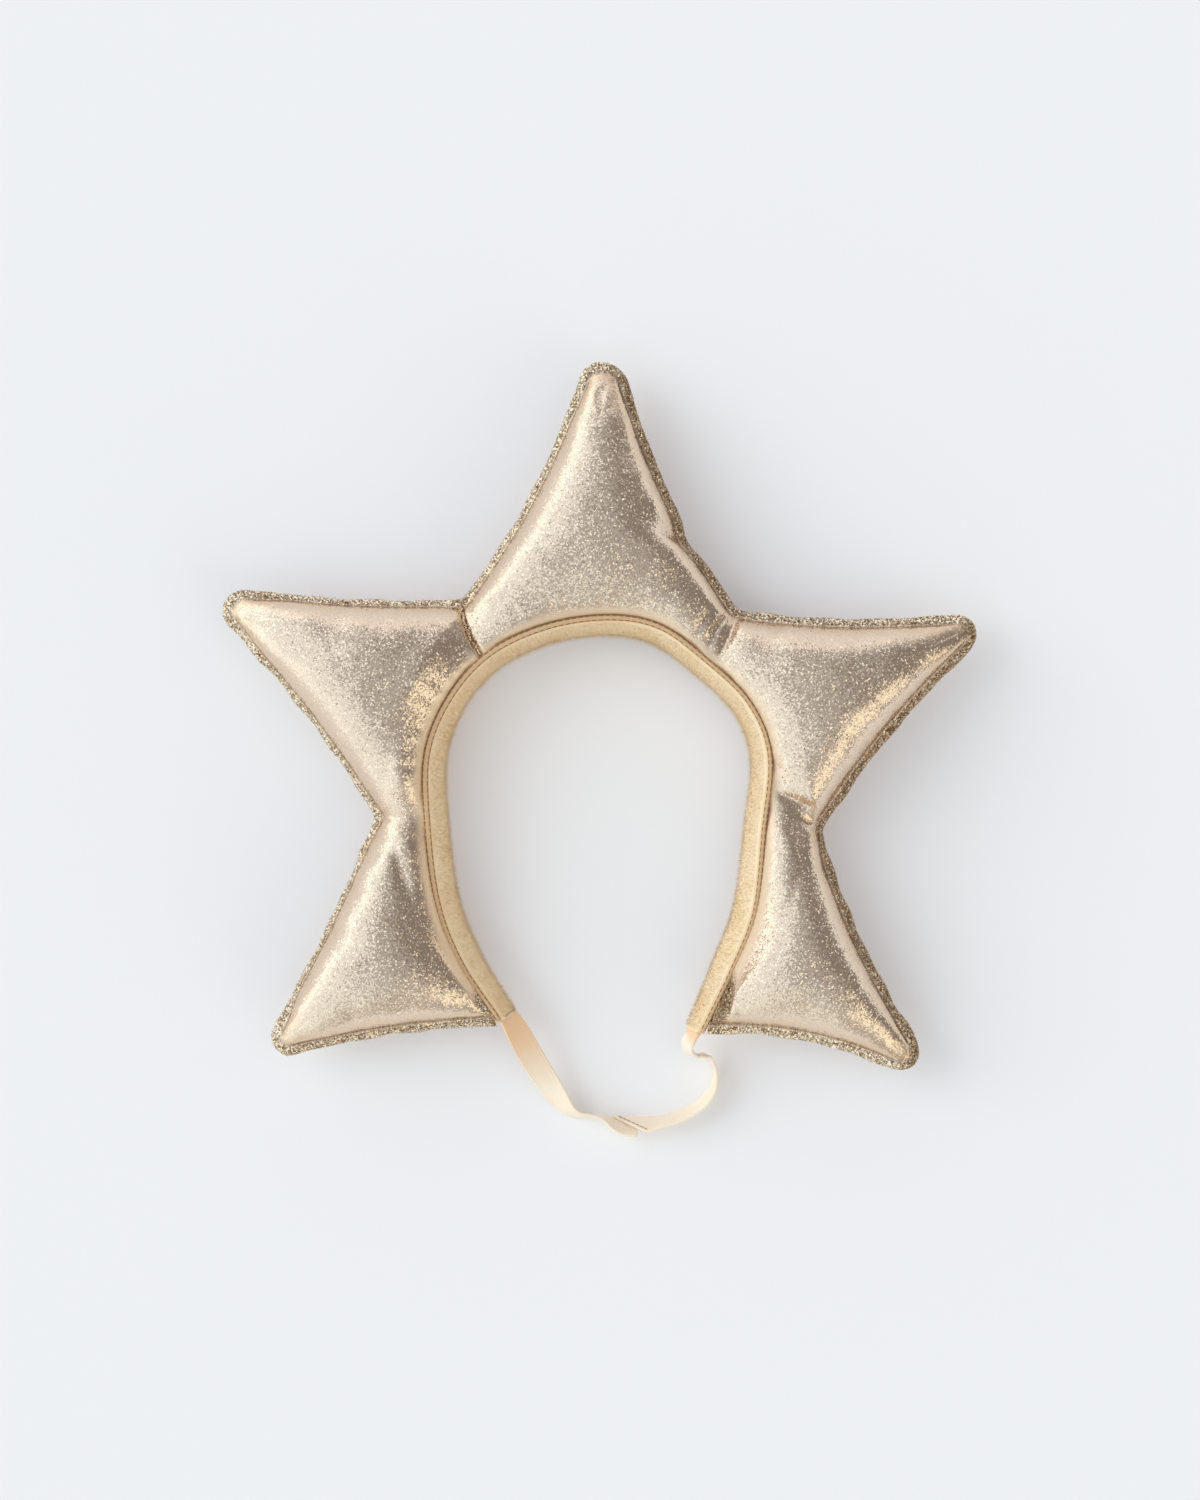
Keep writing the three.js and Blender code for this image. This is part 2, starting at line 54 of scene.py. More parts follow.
# Stuffed points
SEAM_HEIGHT = 20.0
HALF_FLANGE = 0.7  # half of the flange's thickness
RAW_SHARE = 0.45  # share of it at the raw edge
SEAM_PINCH = 0.2  # half of the cloth's thickness where the seam's thread pulls it together
TIP_FLANGE = 4.0
FOLD_INSET = 4.0
BACK_CROWN = 23.5
CROSS_POWER = 2.2
CROSS_ROUND = 0.62
TIP_POWER = 1.7
TIP_ROUND = 0.75
FULL_SHARE = 0.32
FOLD_BLEND = 0.14
TIP_BLEND = 0.8

# Head band, welt and elastic
BAND_THICKNESS = 2.4
BAND_FRONT = 31.0
BAND_BACK = 9.0
BAND_END_FRONT = 23.6
BAND_END_BACK = 17.2
BAND_TAPER_SHARE = 0.3
WELT_HEIGHT = 1.6
ELASTIC_WIDTH = 10.0
ELASTIC_THICKNESS = 1.3
LAP_SKEW = 6.5
LAP_LENGTH = 15.0
CLEARANCE = 0.35

# Fineness of the meshes
CROSS_STEPS = 36
CROSS_CROWDING = 0.6
FOLD_STEPS = 8
EDGE_STEPS = 34
BAND_STEPS = 260
ELASTIC_STEPS = 150
CURVE_SAMPLES = 4000

# Cloth simulation of the stuffed points
INFLATE_FRAMES = 20
INFLATE_CAP = 4.0  # furthest that a place on the cloth may move
CLOTH = {
    "quality": 6,
    "mass": 0.2,
    "tension_stiffness": 30,
    "compression_stiffness": 30,
    "shear_stiffness": 10,
    "bending_stiffness": 2.0,
    "use_pressure": True,
    "uniform_pressure_force": 3.0,
}

# Front edge of the head band: x, y and how far its back edge lies further inside
BAND_ROWS = [
    (-40.6, -122.0, 5.6),
    (-56.0, -99.0, 7.0),
    (-65.5, -74.0, 6.6),
    (-69.6, -40.0, 6.0),
    (-69.2, -14.0, 5.4),
    (-60.0, 8.0, 4.5),
    (-44.0, 25.5, 4.4),
    (-21.0, 36.2, 4.2),
    (4.0, 39.8, 4.5),
    (24.2, 36.0, 4.8),
    (42.0, 23.2, 4.4),
    (60.0, 5.5, 4.5),
    (68.3, -16.0, 4.9),
    (66.0, -45.0, 5.2),
    (62.5, -78.0, 6.3),
    (53.5, -101.5, 6.2),
    (41.4, -126.8, 4.6),
]

# Folds between the points, and the star's two ends: the raw edge in the notch, the foot at the band, the
# height of the cloth over the seam between them, how firmly the fold is held while the points fill, how far
# the cloth then evens out over it, and how far it rises beside the band before it falls to the notch
FOLDS = table(
    "rim foot saddle hold ease rise",
    ((-40.6, -124.2), (-43.2, -118.4), 2.0, 1.0, 0.0, None),
    ((-89.8, -40.4), (-69.6, -39.0), 13.0, 0.6, 0.95, 0.8),
    ((-54.8, 46.8), (-46.4, 23.4), 8.0, 1.0, 0.45, 0.8),
    ((55.4, 42.4), (43.2, 22.0), 10.0, 0.8, 0.75, 1.6),
    ((89.0, -46.0), (67.4, -27.0), 11.0, 0.7, 0.95, 2.2),
    ((42.6, -127.4), (44.6, -120.4), 2.0, 1.0, 0.0, None),
)
FOOT_CREST = 5.0  # from the band to where the cloth in a fold is highest
FOOT_REACH = 9.0  # how far beside a fold that still shows
FOOT_SOFT = 0.6  # how softly the cloth goes over from one height to the other

# Points in the order of the folds: rounded tip of the raw edge, height over the seam, and the inward bow
# and flange of the edge that comes first and of the edge that comes last
POINTS = table(
    "node tip radius crown first last",
    ("point_lower_left", (-123.8, -128.2), 7.6, 20.5, (2.5, 3.6), (1.6, 2.0)),
    ("point_upper_left", (-141.4, 41.6), 9.2, 21.5, (2.8, 2.4), (2.0, 2.7)),
    ("point_top", (1.4, 131.2), 10.4, 22.0, (4.3, 2.8), (4.4, 3.4)),
    ("point_upper_right", (142.4, 32.2), 8.6, 21.5, (2.6, 3.6), (3.0, 3.8)),
    ("point_lower_right", (119.6, -133.4), 8.6, 21.0, (3.5, 3.4), (4.6, 4.0)),
)

# The kink in the top point's last edge
NOTCH = {"node": "point_top", "share": 0.33, "reach": 0.07, "depth": 2.4}

# Hollows in the front, and bulges with a depth below zero: x, y, half lengths along and across, heading in
# degrees, depth
DENTS = [
    (78, -36, 10, 5, 35, 2.0),
    (82, -43, 7, 5, -60, 2.0),
    (48, 30, 12, 4, 60, 2.4),
    (-78, -39, 12, 6, 5, 1.6),
    (30, 70, 12, 4, 150, 1.8),
    (-70, 18, 17, 7, 55, -2.0),
]

# Creases and ridges in the front once it is filled: the half width, the depth at both ends, which is below
# zero for a ridge, and the line on the plan
CREASES = table(
    "half depth line",
    (1.1, (2.6, 2.2), [(-55.8, 45.6), (-54.2, 38.4), (-51.6, 31.2), (-46.7, 23.4)]),
    (1.3, (1.9, 1.1), [(53.6, 43.4), (49.5, 39.0), (45.4, 33.2)]),
    (1.4, (-0.8, -0.8), [(51.8, 40.4), (48.8, 34.0), (46.0, 27.4)]),
    (1.3, (1.4, 1.0), [(55.2, 39.8), (52.2, 32.4), (48.8, 25.8)]),
    (1.4, (-0.7, -0.6), [(45.8, 39.4), (41.8, 32.4)]),
    (1.2, (0.8, 0.6), [(42.4, 40.2), (38.2, 33.6)]),
    (1.1, (0.35, 0.8), [(-85.0, -41.0), (-70.6, -39.4)]),
    (5.5, (-1.4, -2.4), [(-81.5, -49.0), (-84.0, -57.0)]),
    (2.6, (0.5, 0.8), [(-79.0, -54.0), (-76.0, -68.0)]),
    (1.5, (1.2, 1.0), [(73.0, -32.0), (78.0, -33.6), (85.0, -36.6)]),
    (1.8, (-0.7, -0.6), [(74.0, -29.2), (85.6, -33.2)]),
    (1.2, (1.2, 0.5), [(87.4, -45.8), (80.0, -41.6)]),
    (1.8, (1.4, 0.4), [(33.4, 74.0), (28.6, 80.4)]),
    (1.3, (-0.5, -0.3), [(3.4, 130.0), (3.2, 124.6)]),
    (1.5, (0.5, 0.2), [(0.2, 129.0), (1.0, 121.0)]),
)

# Bare flange between the band and the stuffing at the star's two ends: place of the end, how far along the
# band it goes, how wide it is, and how strongly painted shade darkens it
END_FLANGES = table(
    "end reach width shade",
    ((41.4, -126.8), 26.0, 5.0, 1.6),
    ((-40.6, -122.0), 16.0, 2.6, 0.6),
)
END_BLEND = 1.2  # share of the reach at which the strip has narrowed to nothing
END_FADE = 2.5  # from bare flange to stuffed cloth
END_CLIMB = 0.15  # rise of the bare flange for each millimetre from the end

# Elastic from each end of the band to the joint: x, y, z of the strap's middle, and how far its upper face
# turns from straight up to the right hand of its run, in degrees
ELASTIC_LEFT_ROWS = [
    (-36.7, -120.0, 20.4, -44),
    (-34.8, -122.9, 20.0, -36),
    (-32.0, -128.0, 18.0, -20),
    (-28.2, -135.2, 14.2, -6),
    (-23.2, -144.0, 9.8, 8),
    (-18.2, -151.8, 6.9, 28),
    (-12.8, -158.6, 5.6, 57),
    (-8.0, -161.0, 5.5, 77),
    (-3.2, -161.4, 5.5, 84),
    (1.4, -162.2, 5.5, 94),
    (5.6, -164.4, 5.1, 114),
    (10.2, -165.8, 4.7, 128),
    (15.4, -166.4, 4.5, 130),
]
ELASTIC_RIGHT_ROWS = [
    (37.7, -125.7, 20.4, 58),
    (36.4, -128.6, 20.0, 66),
    (35.6, -132.0, 17.6, 69),
    (36.8, -135.0, 14.2, 74),
    (39.8, -136.6, 10.9, 83),
    (43.4, -137.4, 8.2, 88),
    (46.2, -140.6, 6.4, 89),
    (47.0, -145.4, 5.7, 86),
    (45.8, -150.4, 5.6, 77),
    (43.0, -154.8, 5.4, 72),
    (38.4, -158.6, 5.3, 70),
    (31.0, -162.2, 5.3, 68),
    (24.4, -163.8, 5.6, 66),
    (18.2, -164.4, 6.1, 60),
    (12.0, -164.6, 6.3, 54),
]
# How far each strap's far end is cut on a slant, and where its deeper peach, painted shade near the band,
# fades out along it
STRAPS = table(
    "node rows skew fade",
    ("elastic_left", ELASTIC_LEFT_ROWS, 0.0, (6.0, 36.0)),
    ("elastic_right", ELASTIC_RIGHT_ROWS, LAP_SKEW, (1.5, 6.0)),
)

# Sections of strips: how square their corners are, and the number of corners round them
BAND_SECTION = (5, 48)
WELT_SECTION = (3, 16)
FOLD_EDGE_SECTION = (3, 12)
ELASTIC_SECTION = (6, 96)

# Camera: straight down, with the photograph's frame at the height of the outer seam
VIEW_CENTRE = (0.2, -13.6)
VIEW_HEIGHT = 600.0
CAMERA_DISTANCE = 1500.0
SENSOR = 36.0


def smoothstep(x):
    x = np.clip(x, 0, 1)
    return x * x * (3 - 2 * x)


def lerp(a, b, share):
    return a + (b - a) * share


def unit(vectors):
    return vectors / np.linalg.norm(vectors, axis=-1, keepdims=True)


def bell(distance, reach):
    """One on a line, and fading out beside it."""
    return np.exp(-((distance / reach) ** 2))


def hump(distance, reach):
    """Nothing on a line, one at the reach from it, and fading out further off."""
    return distance / reach * np.exp(1 - distance / reach)


def run_along(line):
    """How far along a line each of its points lies."""
    return np.concatenate([[0], np.cumsum(np.linalg.norm(np.diff(line, axis=0), axis=1))])


def even_curve(rows, steps, dims):
    """Places at even distances on a smooth curve through the rows, and the curve's length.
    The first columns, as many as dims, are the place, and the others follow along."""
    rows = np.array(rows, float)
    knots = np.vstack([2 * rows[:1] - rows[1:2], rows, 2 * rows[-1:] - rows[-2:-1]])
    t = np.linspace(0, len(rows) - 1, CURVE_SAMPLES)
    first = np.minimum(t.astype(int), len(rows) - 2)
    s = (t - first)[:, None]
    before, here, there, after = (knots[first + k] for k in range(4))
    leave = (there - before) / 2
    arrive = (after - here) / 2
    square = 3 * (there - here) - 2 * leave - arrive
    cube = 2 * (here - there) + leave + arrive
    fine = here + s * (leave + s * (square + s * cube))
    run = run_along(fine[:, :dims])
    even = np.linspace(0, run[-1], steps + 1)
    return np.stack([np.interp(even, run, column) for column in fine.T], axis=1), run[-1]


def waves(places, height, wavelength, seed, count=7):
    """A smooth random field between about minus and plus the height, with features of that wavelength."""
    draw = np.random.default_rng(seed)
    places = places.reshape(len(places), -1)
    total = np.zeros(len(places))
    for _ in range(count):
        way = draw.normal(size=places.shape[1])
        way *= 2 * math.pi / wavelength / np.linalg.norm(way) * draw.uniform(0.6, 1.4)
        total += np.sin(places @ way + draw.uniform(0, 2 * math.pi))
    return height * total / math.sqrt(count)


BAND_LINE, BAND_LENGTH = even_curve(BAND_ROWS, CURVE_SAMPLES, 2)
BAND_HEADING = unit(np.gradient(BAND_LINE[:, :2], axis=0))


def band_at(shares):
    """The band's front edge at shares of its length: the place on the plan, the way into the head opening,
    the lean, and the heights of both edges."""
    place = shares * CURVE_SAMPLES
    samples = np.arange(CURVE_SAMPLES + 1)
    x, y, lean = (np.interp(place, samples, BAND_LINE[:, k]) for k in range(3))
    heading = [np.interp(place, samples, BAND_HEADING[:, k]) for k in range(2)]
    widening = smoothstep(np.minimum(shares, 1 - shares) / BAND_TAPER_SHARE)
    return SimpleNamespace(
        point=np.stack([x, y], -1),
        inward=unit(np.stack([heading[1], -heading[0]], -1)),
        lean=lean,
        front=lerp(BAND_END_FRONT, BAND_FRONT, widening),
        back=lerp(BAND_END_BACK, BAND_BACK, widening),
    )


class Skin:
    """Collects the corners and faces of one mesh, with named values on the corners."""

    def __init__(self):
        self.points = []
        self.faces = []
        self.values = {}
        self.count = 0

    def add(self, points, **values):
        """Adds a block of corners of any shape and returns their numbers in that shape."""
        points = np.asarray(points, float)
        shape = points.shape[:-1]
        flat = points.reshape(-1, 3)
        self.points.append(flat)
        for name, value in values.items():
            column = np.broadcast_to(np.asarray(value, float), shape).reshape(-1)
            self.values.setdefault(name, []).append((self.count, column))
        numbers = np.arange(self.count, self.count + len(flat)).reshape(shape)
        self.count += len(flat)
        return numbers

    def quads(self, grid, turned=False):
        """Faces between the neighbours in a grid of corner numbers."""
        corners = [grid[:-1, :-1], grid[:-1, 1:], grid[1:, 1:], grid[1:, :-1]]
        if turned:
            corners.reverse()
        self.faces.extend(np.stack(corners, -1).reshape(-1, 4).tolist())

    def mesh(self, name, merge=None):
        """The mesh in metres, with corners that lie closer than merge made one."""
        mesh = bpy.data.meshes.new(name)
        points = np.vstack(self.points) * MM
        mesh.from_pydata(points.tolist(), [], self.faces)
        for value, blocks in self.values.items():
            column = np.zeros(self.count, np.float32)
            for start, block in blocks:
                column[start:start + len(block)] = block
            mesh.attributes.new(value, "FLOAT", "POINT").data.foreach_set("value", column)
        if merge:
            merge_corners(mesh, merge * MM)
        mesh.shade_smooth()
        return mesh


def merge_corners(mesh, distance):
    work = bmesh.new()
    work.from_mesh(mesh)
    bmesh.ops.remove_doubles(work, verts=work.verts, dist=distance)
    bmesh.ops.recalc_face_normals(work, faces=work.faces)
    work.to_mesh(mesh)
    work.free()


def new_object(mesh, material):
    mesh.materials.append(material)
    piece = bpy.data.objects.new(mesh.name, mesh)
    bpy.context.scene.collection.objects.link(piece)
    return piece


def read(items, name, columns):
    """The numbers under a name on all of a mesh's items."""
    numbers = np.zeros(len(items) * columns, np.float32)
    items.foreach_get(name, numbers)
    return numbers.reshape(-1, columns).astype(float)


def corner_places(mesh):
    return read(mesh.vertices, "co", 3) / MM


def corner_values(mesh, name):
    return read(mesh.attributes[name].data, "value", 1)[:, 0]


def set_places(mesh, places):
    mesh.vertices.foreach_set("co", (places * MM).astype(np.float32).ravel())
    mesh.update()


def set_values(mesh, name, values):
    attribute = mesh.attributes.get(name) or mesh.attributes.new(name, "FLOAT", "POINT")
    attribute.data.foreach_set("value", np.asarray(values, np.float32))


# Star cover


def fold_corner(fold):
    rim = np.array(fold["rim"])
    foot = np.array(fold["foot"])
    nearest = np.argmin(np.linalg.norm(BAND_LINE[:, :2] - foot, axis=1))
    edge = band_at(nearest / CURVE_SAMPLES)
    return SimpleNamespace(
        share=nearest / CURVE_SAMPLES,
        saddle=fold["saddle"],
        hold=fold["hold"],
        rim=rim,
        seam=rim + unit(foot - rim) * FOLD_INSET,
        front_foot=edge.point,
        back_foot=edge.point + edge.inward * edge.lean,
    )


def touch_angle(point, edge, corner, sign):
    """Angle of the tip's circle where an outer edge from the fold touches it."""
    to_fold = corner.rim - np.array(point["tip"])
    distance = np.linalg.norm(to_fold)
    bow_turn = 4 * edge[0] / distance
    return math.atan2(to_fold[1], to_fold[0]) - sign * (math.acos(point["radius"] / distance) - bow_turn)


def outer_edge(point, edge, corner, angle, sign):
    """Raw edge and seam from the fold to the tip. The sign is +1 where the inside lies to the right."""
    bow, flange = edge
    way = np.array([math.cos(angle), math.sin(angle)])
    run = np.array(point["tip"]) + way * point["radius"] - corner.rim
    inside = sign * unit(np.array([run[1], -run[0]]))
    share = np.linspace(0, 1, EDGE_STEPS + 1)[:, None]
    depth = bow * 4 * share * (1 - share)
    if point["node"] == NOTCH["node"] and sign < 0:
        depth = depth + NOTCH["depth"] * bell(share - NOTCH["share"], NOTCH["reach"])
    raw = corner.rim + run * share + inside * depth
    inset = lerp(inside * flange, corner.seam - corner.rim, 1 - smoothstep(share / FOLD_BLEND))
    inset = lerp(inset, -way * TIP_FLANGE, smoothstep((share - TIP_BLEND) / (1 - TIP_BLEND)))
    return raw, raw + inset


def plan_patch(band_side, tip_side, first_side, last_side, u, v):
    """Plan points between the band, the tip and the two side runs."""
    u = u[None, :, None]
    v = v[:, None, None]
    along = lerp(band_side[None], tip_side[None], v)
    across = lerp(first_side[:, None], last_side[:, None], u)
    low = lerp(first_side[0], last_side[0], u)
    high = lerp(first_side[-1], last_side[-1], u)
    return along + across - lerp(low, high, v)


def fold_height(share, at_band, saddle, at_seam):
    control = 2 * saddle - 0.5 * (at_band + at_seam)
    rest = 1 - share
    return rest * rest * at_band + 2 * share * rest * control + share * share * at_seam


def ridge_height(share, at_band, crown):
    left = np.clip(1 - share / FULL_SHARE, 0, 1)
    gone = np.clip((share - FULL_SHARE) / (1 - FULL_SHARE), 0, 1)
    rising = at_band + (crown - at_band) * np.sqrt(1 - left * left)
    falling = crown * (1 - gone**TIP_POWER) ** TIP_ROUND
    return np.where(share < FULL_SHARE, rising, falling)


def dent_depth(spots):
    depth = np.zeros(spots.shape[:-1])
    for x, y, along, across, heading, deep in DENTS:
        turn = math.radians(heading)
        dx = spots[..., 0] - x
        dy = spots[..., 1] - y
        run = dx * math.cos(turn) + dy * math.sin(turn)
        side = dy * math.cos(turn) - dx * math.sin(turn)
        depth += deep * np.exp(-((run / along) ** 2) - (side / across) ** 2)
    return depth


def swell(u, v, along_fold, rise, crown, first, last):
    """Height over the seam of a point's cloth, for its rows and columns."""
    at_first = fold_height(along_fold, rise[0], first.saddle, SEAM_PINCH)[:, None]
    at_last = fold_height(along_fold, rise[-1], last.saddle, SEAM_PINCH)[:, None]
    middle = rise[len(rise) // 2]
    ridge = ridge_height(v, middle, crown)[:, None] - 0.5 * (at_first + at_last)
    cross = (1 - np.abs(2 * u - 1) ** CROSS_POWER) ** CROSS_ROUND
    height = lerp(at_first, at_last, u[None]) + ridge * cross[None]
    height[0] = rise
    return np.maximum(height, SEAM_PINCH)


FLANGE_ACROSS = [0.0, 0.3, 0.7, 1.0]  # places from the seam to the raw edge
FLANGE_HALF = [SEAM_PINCH, HALF_FLANGE, HALF_FLANGE, RAW_SHARE * HALF_FLANGE]
FLANGE_BLEND = 0.3  # share of its width over which its finish sets in
FLANGE_FREE = 8.0  # from a fold to where the raw edge lies free
FLANGE_DROOP = 1.1  # how far the raw edge hangs below the seam
FLANGE_WAVE = (0.45, 34)  # how far the raw edge waves up and down, and in what length
EDGE_WAVE = (0.35, 22)  # how far it strays from its line, and in what length
EDGE_RAGGED = (0.1, 6)  # the same, but finer
LEE_PAINTED_SHADE_WAY = (1.0, -0.1)  # painted shade: the flange is browner where it points this way on the plan, away from the light


def add_flange(skin, seam, raw, seed):
    """The two layers of cloth outside the seam, from one fold round the tip to the next."""
    run = run_along(raw)
    free = smoothstep(run / FLANGE_FREE) * smoothstep((run[-1] - run) / FLANGE_FREE)
    outward = unit(raw - seam)
    lift = (waves(run, *FLANGE_WAVE, seed) - FLANGE_DROOP) * free
    stray = (waves(run, *EDGE_WAVE, seed + 1) + waves(run, *EDGE_RAGGED, seed + 2)) * free
    raw = raw + outward * stray[:, None]

    def layer(side):
        rows = []
        for across, half in zip(FLANGE_ACROSS, FLANGE_HALF):
            height = SEAM_HEIGHT + side * half + lift * across
            rows.append(np.column_stack([lerp(seam, raw, across), height]))
        return rows

    ring = np.stack(layer(1) + layer(-1)[::-1])
    across = np.array(FLANGE_ACROSS + FLANGE_ACROSS[::-1])[:, None]
    # Painted shade on the flange where it points away from the light
    lee = np.maximum(outward @ np.array(LEE_PAINTED_SHADE_WAY), 0)
    numbers = skin.add(ring, hold=1.0, flange=smoothstep(across / FLANGE_BLEND), lee=lee[None])
    skin.quads(numbers)
    return numbers, np.column_stack([raw, SEAM_HEIGHT + lift])


def add_point(skin, point, first, last, seed):
    """One stuffed point: its front and back, the wall at the band, and its flange."""
    tip = np.array(point["tip"])
    first_angle = touch_angle(point, point["first"], first, 1)
    last_angle = touch_angle(point, point["last"], last, -1)
    last_angle = first_angle - (first_angle - last_angle) % (2 * math.pi)
    first_raw, first_seam = outer_edge(point, point["first"], first, first_angle, 1)
    last_raw, last_seam = outer_edge(point, point["last"], last, last_angle, -1)

    even = np.linspace(0, 1, CROSS_STEPS + 1)
    u = lerp(even, 0.5 - 0.5 * np.cos(math.pi * even), CROSS_CROWDING)
    fold_length = sum(np.linalg.norm(end.front_foot - end.seam) for end in (first, last))
    edge_length = sum(np.linalg.norm(end.rim - tip) for end in (first, last))
    fold_share = fold_length / (fold_length + edge_length)
    fold_rows = np.arange(FOLD_STEPS) / FOLD_STEPS
    v = np.concatenate([fold_share * fold_rows, np.linspace(fold_share, 1, EDGE_STEPS + 1)])
    along_fold = np.concatenate([fold_rows, np.ones(EDGE_STEPS + 1)])

    edge = band_at(lerp(first.share, last.share, u))
    angle = lerp(first_angle, last_angle, u)
    way = np.stack([np.cos(angle), np.sin(angle)], -1)
    tip_raw = tip + way * point["radius"]
    tip_seam = tip + way * (point["radius"] - TIP_FLANGE)

    def patch(band_side, first_foot, last_foot):
        first_side = np.vstack([lerp(first_foot, first.seam, fold_rows[:, None]), first_seam])
        last_side = np.vstack([lerp(last_foot, last.seam, fold_rows[:, None]), last_seam])
        return plan_patch(band_side, tip_seam, first_side, last_side, u, v)

    front = patch(edge.point, first.front_foot, last.front_foot)
    back = patch(edge.point + edge.inward * edge.lean[:, None], first.back_foot, last.back_foot)
    high = swell(u, v, along_fold, edge.front - SEAM_HEIGHT, point["crown"], first, last)
    low = swell(u, v, along_fold, SEAM_HEIGHT - edge.back, BACK_CROWN, first, last)
    free = np.ones_like(high)
    free[0] = 0
    high = np.maximum(high - free * dent_depth(front) * (high > SEAM_PINCH), SEAM_PINCH)

    hold = np.zeros_like(high)
    hold[:2] = 1
    hold[-1] = 1
    hold[FOLD_STEPS:, [0, -1]] = 1
    hold[2:FOLD_STEPS, 0] = first.hold
    hold[2:FOLD_STEPS, -1] = last.hold
    front_z = (SEAM_HEIGHT + high)[..., None]
    back_z = np.maximum(SEAM_HEIGHT - low, 0)[..., None]
    front_numbers = skin.add(np.concatenate([front, front_z], -1), hold=hold, flange=0.0)
    back_numbers = skin.add(np.concatenate([back, back_z], -1), hold=hold, flange=0.0)
    skin.quads(front_numbers)
    skin.quads(back_numbers, turned=True)
    skin.quads(np.stack([back_numbers[0], front_numbers[0]]))

    seam = np.vstack([first_seam[:-1], tip_seam, last_seam[-2::-1]])
    raw = np.vstack([first_raw[:-1], tip_raw, last_raw[-2::-1]])
    ring, raw = add_flange(skin, seam, raw, seed)
    return SimpleNamespace(front=front_numbers, back=back_numbers, ring=ring, seam=seam, raw=raw)


def close_end(skin, part, column):
    """The wall of the star at one of its two ends."""
    rows = slice(0, FOLD_STEPS + 1)
    skin.quads(np.stack([part.front[rows, column], part.back[rows, column]]))
    skin.faces.append(part.ring[:, column].tolist())


def inflate(piece):
    """Fills the points: the cloth swells under pressure, and is held at its seams and folds."""
    start = corner_places(piece.data)
    group = piece.vertex_groups.new(name="held")
    for number, weight in enumerate(corner_values(piece.data, "hold")):
        if weight > 0:
            group.add([number], weight, "REPLACE")
    cloth = piece.modifiers.new("Fill", "CLOTH")
    for name, value in CLOTH.items():
        setattr(cloth.settings, name, value)
    cloth.settings.vertex_group_mass = group.name
    cloth.settings.effector_weights.gravity = 0
    cloth.collision_settings.use_collision = False
    cloth.collision_settings.use_self_collision = False
    scene = bpy.context.scene
    for step in range(1, INFLATE_FRAMES + 1):
        scene.frame_set(step)
    filled = piece.evaluated_get(bpy.context.evaluated_depsgraph_get())
    move = corner_places(filled.data) - start
    piece.modifiers.remove(cloth)
    scene.frame_set(1)
    length = np.linalg.norm(move, axis=1, keepdims=True)
    places = start + move * INFLATE_CAP / np.maximum(length, INFLATE_CAP)
    places[:, 2] = np.maximum(places[:, 2], 0)
    set_places(piece.data, places)
    piece.vertex_groups.clear()


def subdivide(piece):
    modifier = piece.modifiers.new("Smooth", "SUBSURF")
    modifier.levels = 1
    modifier.render_levels = 1
    evaluated = piece.evaluated_get(bpy.context.evaluated_depsgraph_get())
    mesh = bpy.data.meshes.new_from_object(evaluated)
    piece.modifiers.clear()
    old = piece.data
    name = old.name
    piece.data = mesh
    bpy.data.meshes.remove(old)
    mesh.name = name


LINE_SPACING = 0.5  # of the points that stand for a line

# Waves of the filled cloth: how high, in what length, and the seed
CLOTH_WAVE = (0.15, 30, 71)  # soft unevenness all over
SEAM_WAVE = (0.35, 24, 72)  # slow pull of the seam on the cloth beside it
SEAM_PUCKER = (0.12, 7, 73)  # fine gathers beside the seam
BAND_PUCKER = (0.12, 6.5, 74)  # fine gathers beside the band
CLOTH_WAVE_CLEAR = 10.0  # from the seam or the band to where the waves are full
SEAM_WAVE_CLEAR = 14.0
SEAM_WAVE_REACH = 5.0
SEAM_PUCKER_REACH = 2.5
BAND_PUCKER_REACH = 4.0

FRONT_FADE = 1.5  # height over the seam at which cloth is wholly front
BAND_SHARES = np.linspace(0, 1, 101)
BAND_EASE = 0.4  # share of the height above the band that the cloth loses beside it
BAND_EASE_REACH = 9.0
BAND_LIP = 0.7  # how far the cloth's edge stands up against the welt
BAND_LIP_REACH = 1.5

# How the filled cloth evens out over the folds and at the tips
EASE_ROUNDS = 120
FOLD_EASE_REACH = 7.0
FOLD_EASE_ZONE = 3  # reaches out to which a fold's own share counts
FOLD_EASE_START = 0.5  # beside the band the cloth is held
FOLD_EASE_FOOT = 2.0
TIP_EASE = 0.6
TIP_EASE_REACH = 16.0
TIP_EASE_ZONE = 2
TIP_EASE_SEAM = 4.0

# Finish beside the outer seam and the welt, with painted shade in and beside the seam
# Painted shade: the cloth darkens in the seam's groove
GROOVE_PAINTED_SHADE_WIDTH = 0.5
TURN_START = 1.0  # beside the welt the cloth turns down and glitters less
TURN_FADE = 4.0
SEAM_PAINTED_SHADE_REACH = 3.5  # beside the outer seam the cloth is painted a darker gold, as painted shade beside the flange
PULL_START = 2.0  # beside the outer seam the cloth is pulled smooth
PULL_FADE = 8.0
PULL_SHARE = 0.8


def dense(line, spacing):
    """A line's points at an even small spacing."""
    run = run_along(line)
    even = np.linspace(0, run[-1], int(run[-1] / spacing) + 2)
    return np.stack([np.interp(even, run, column) for column in line.T], axis=1)


def nearest_on(lines, places):
    """Distance on the plan from each place to the nearest line, and how far along the lines that is."""
    points = np.vstack([dense(line[:, :2], LINE_SPACING) for line in lines])
    tree = KDTree(len(points))
    for number, (x, y) in enumerate(points):
        tree.insert((x, y, 0), number)
    tree.balance()
    found = [tree.find((x, y, 0)) for x, y in places[:, :2]]
    return np.array([hit[2] for hit in found]), np.array([hit[1] for hit in found]) * LINE_SPACING


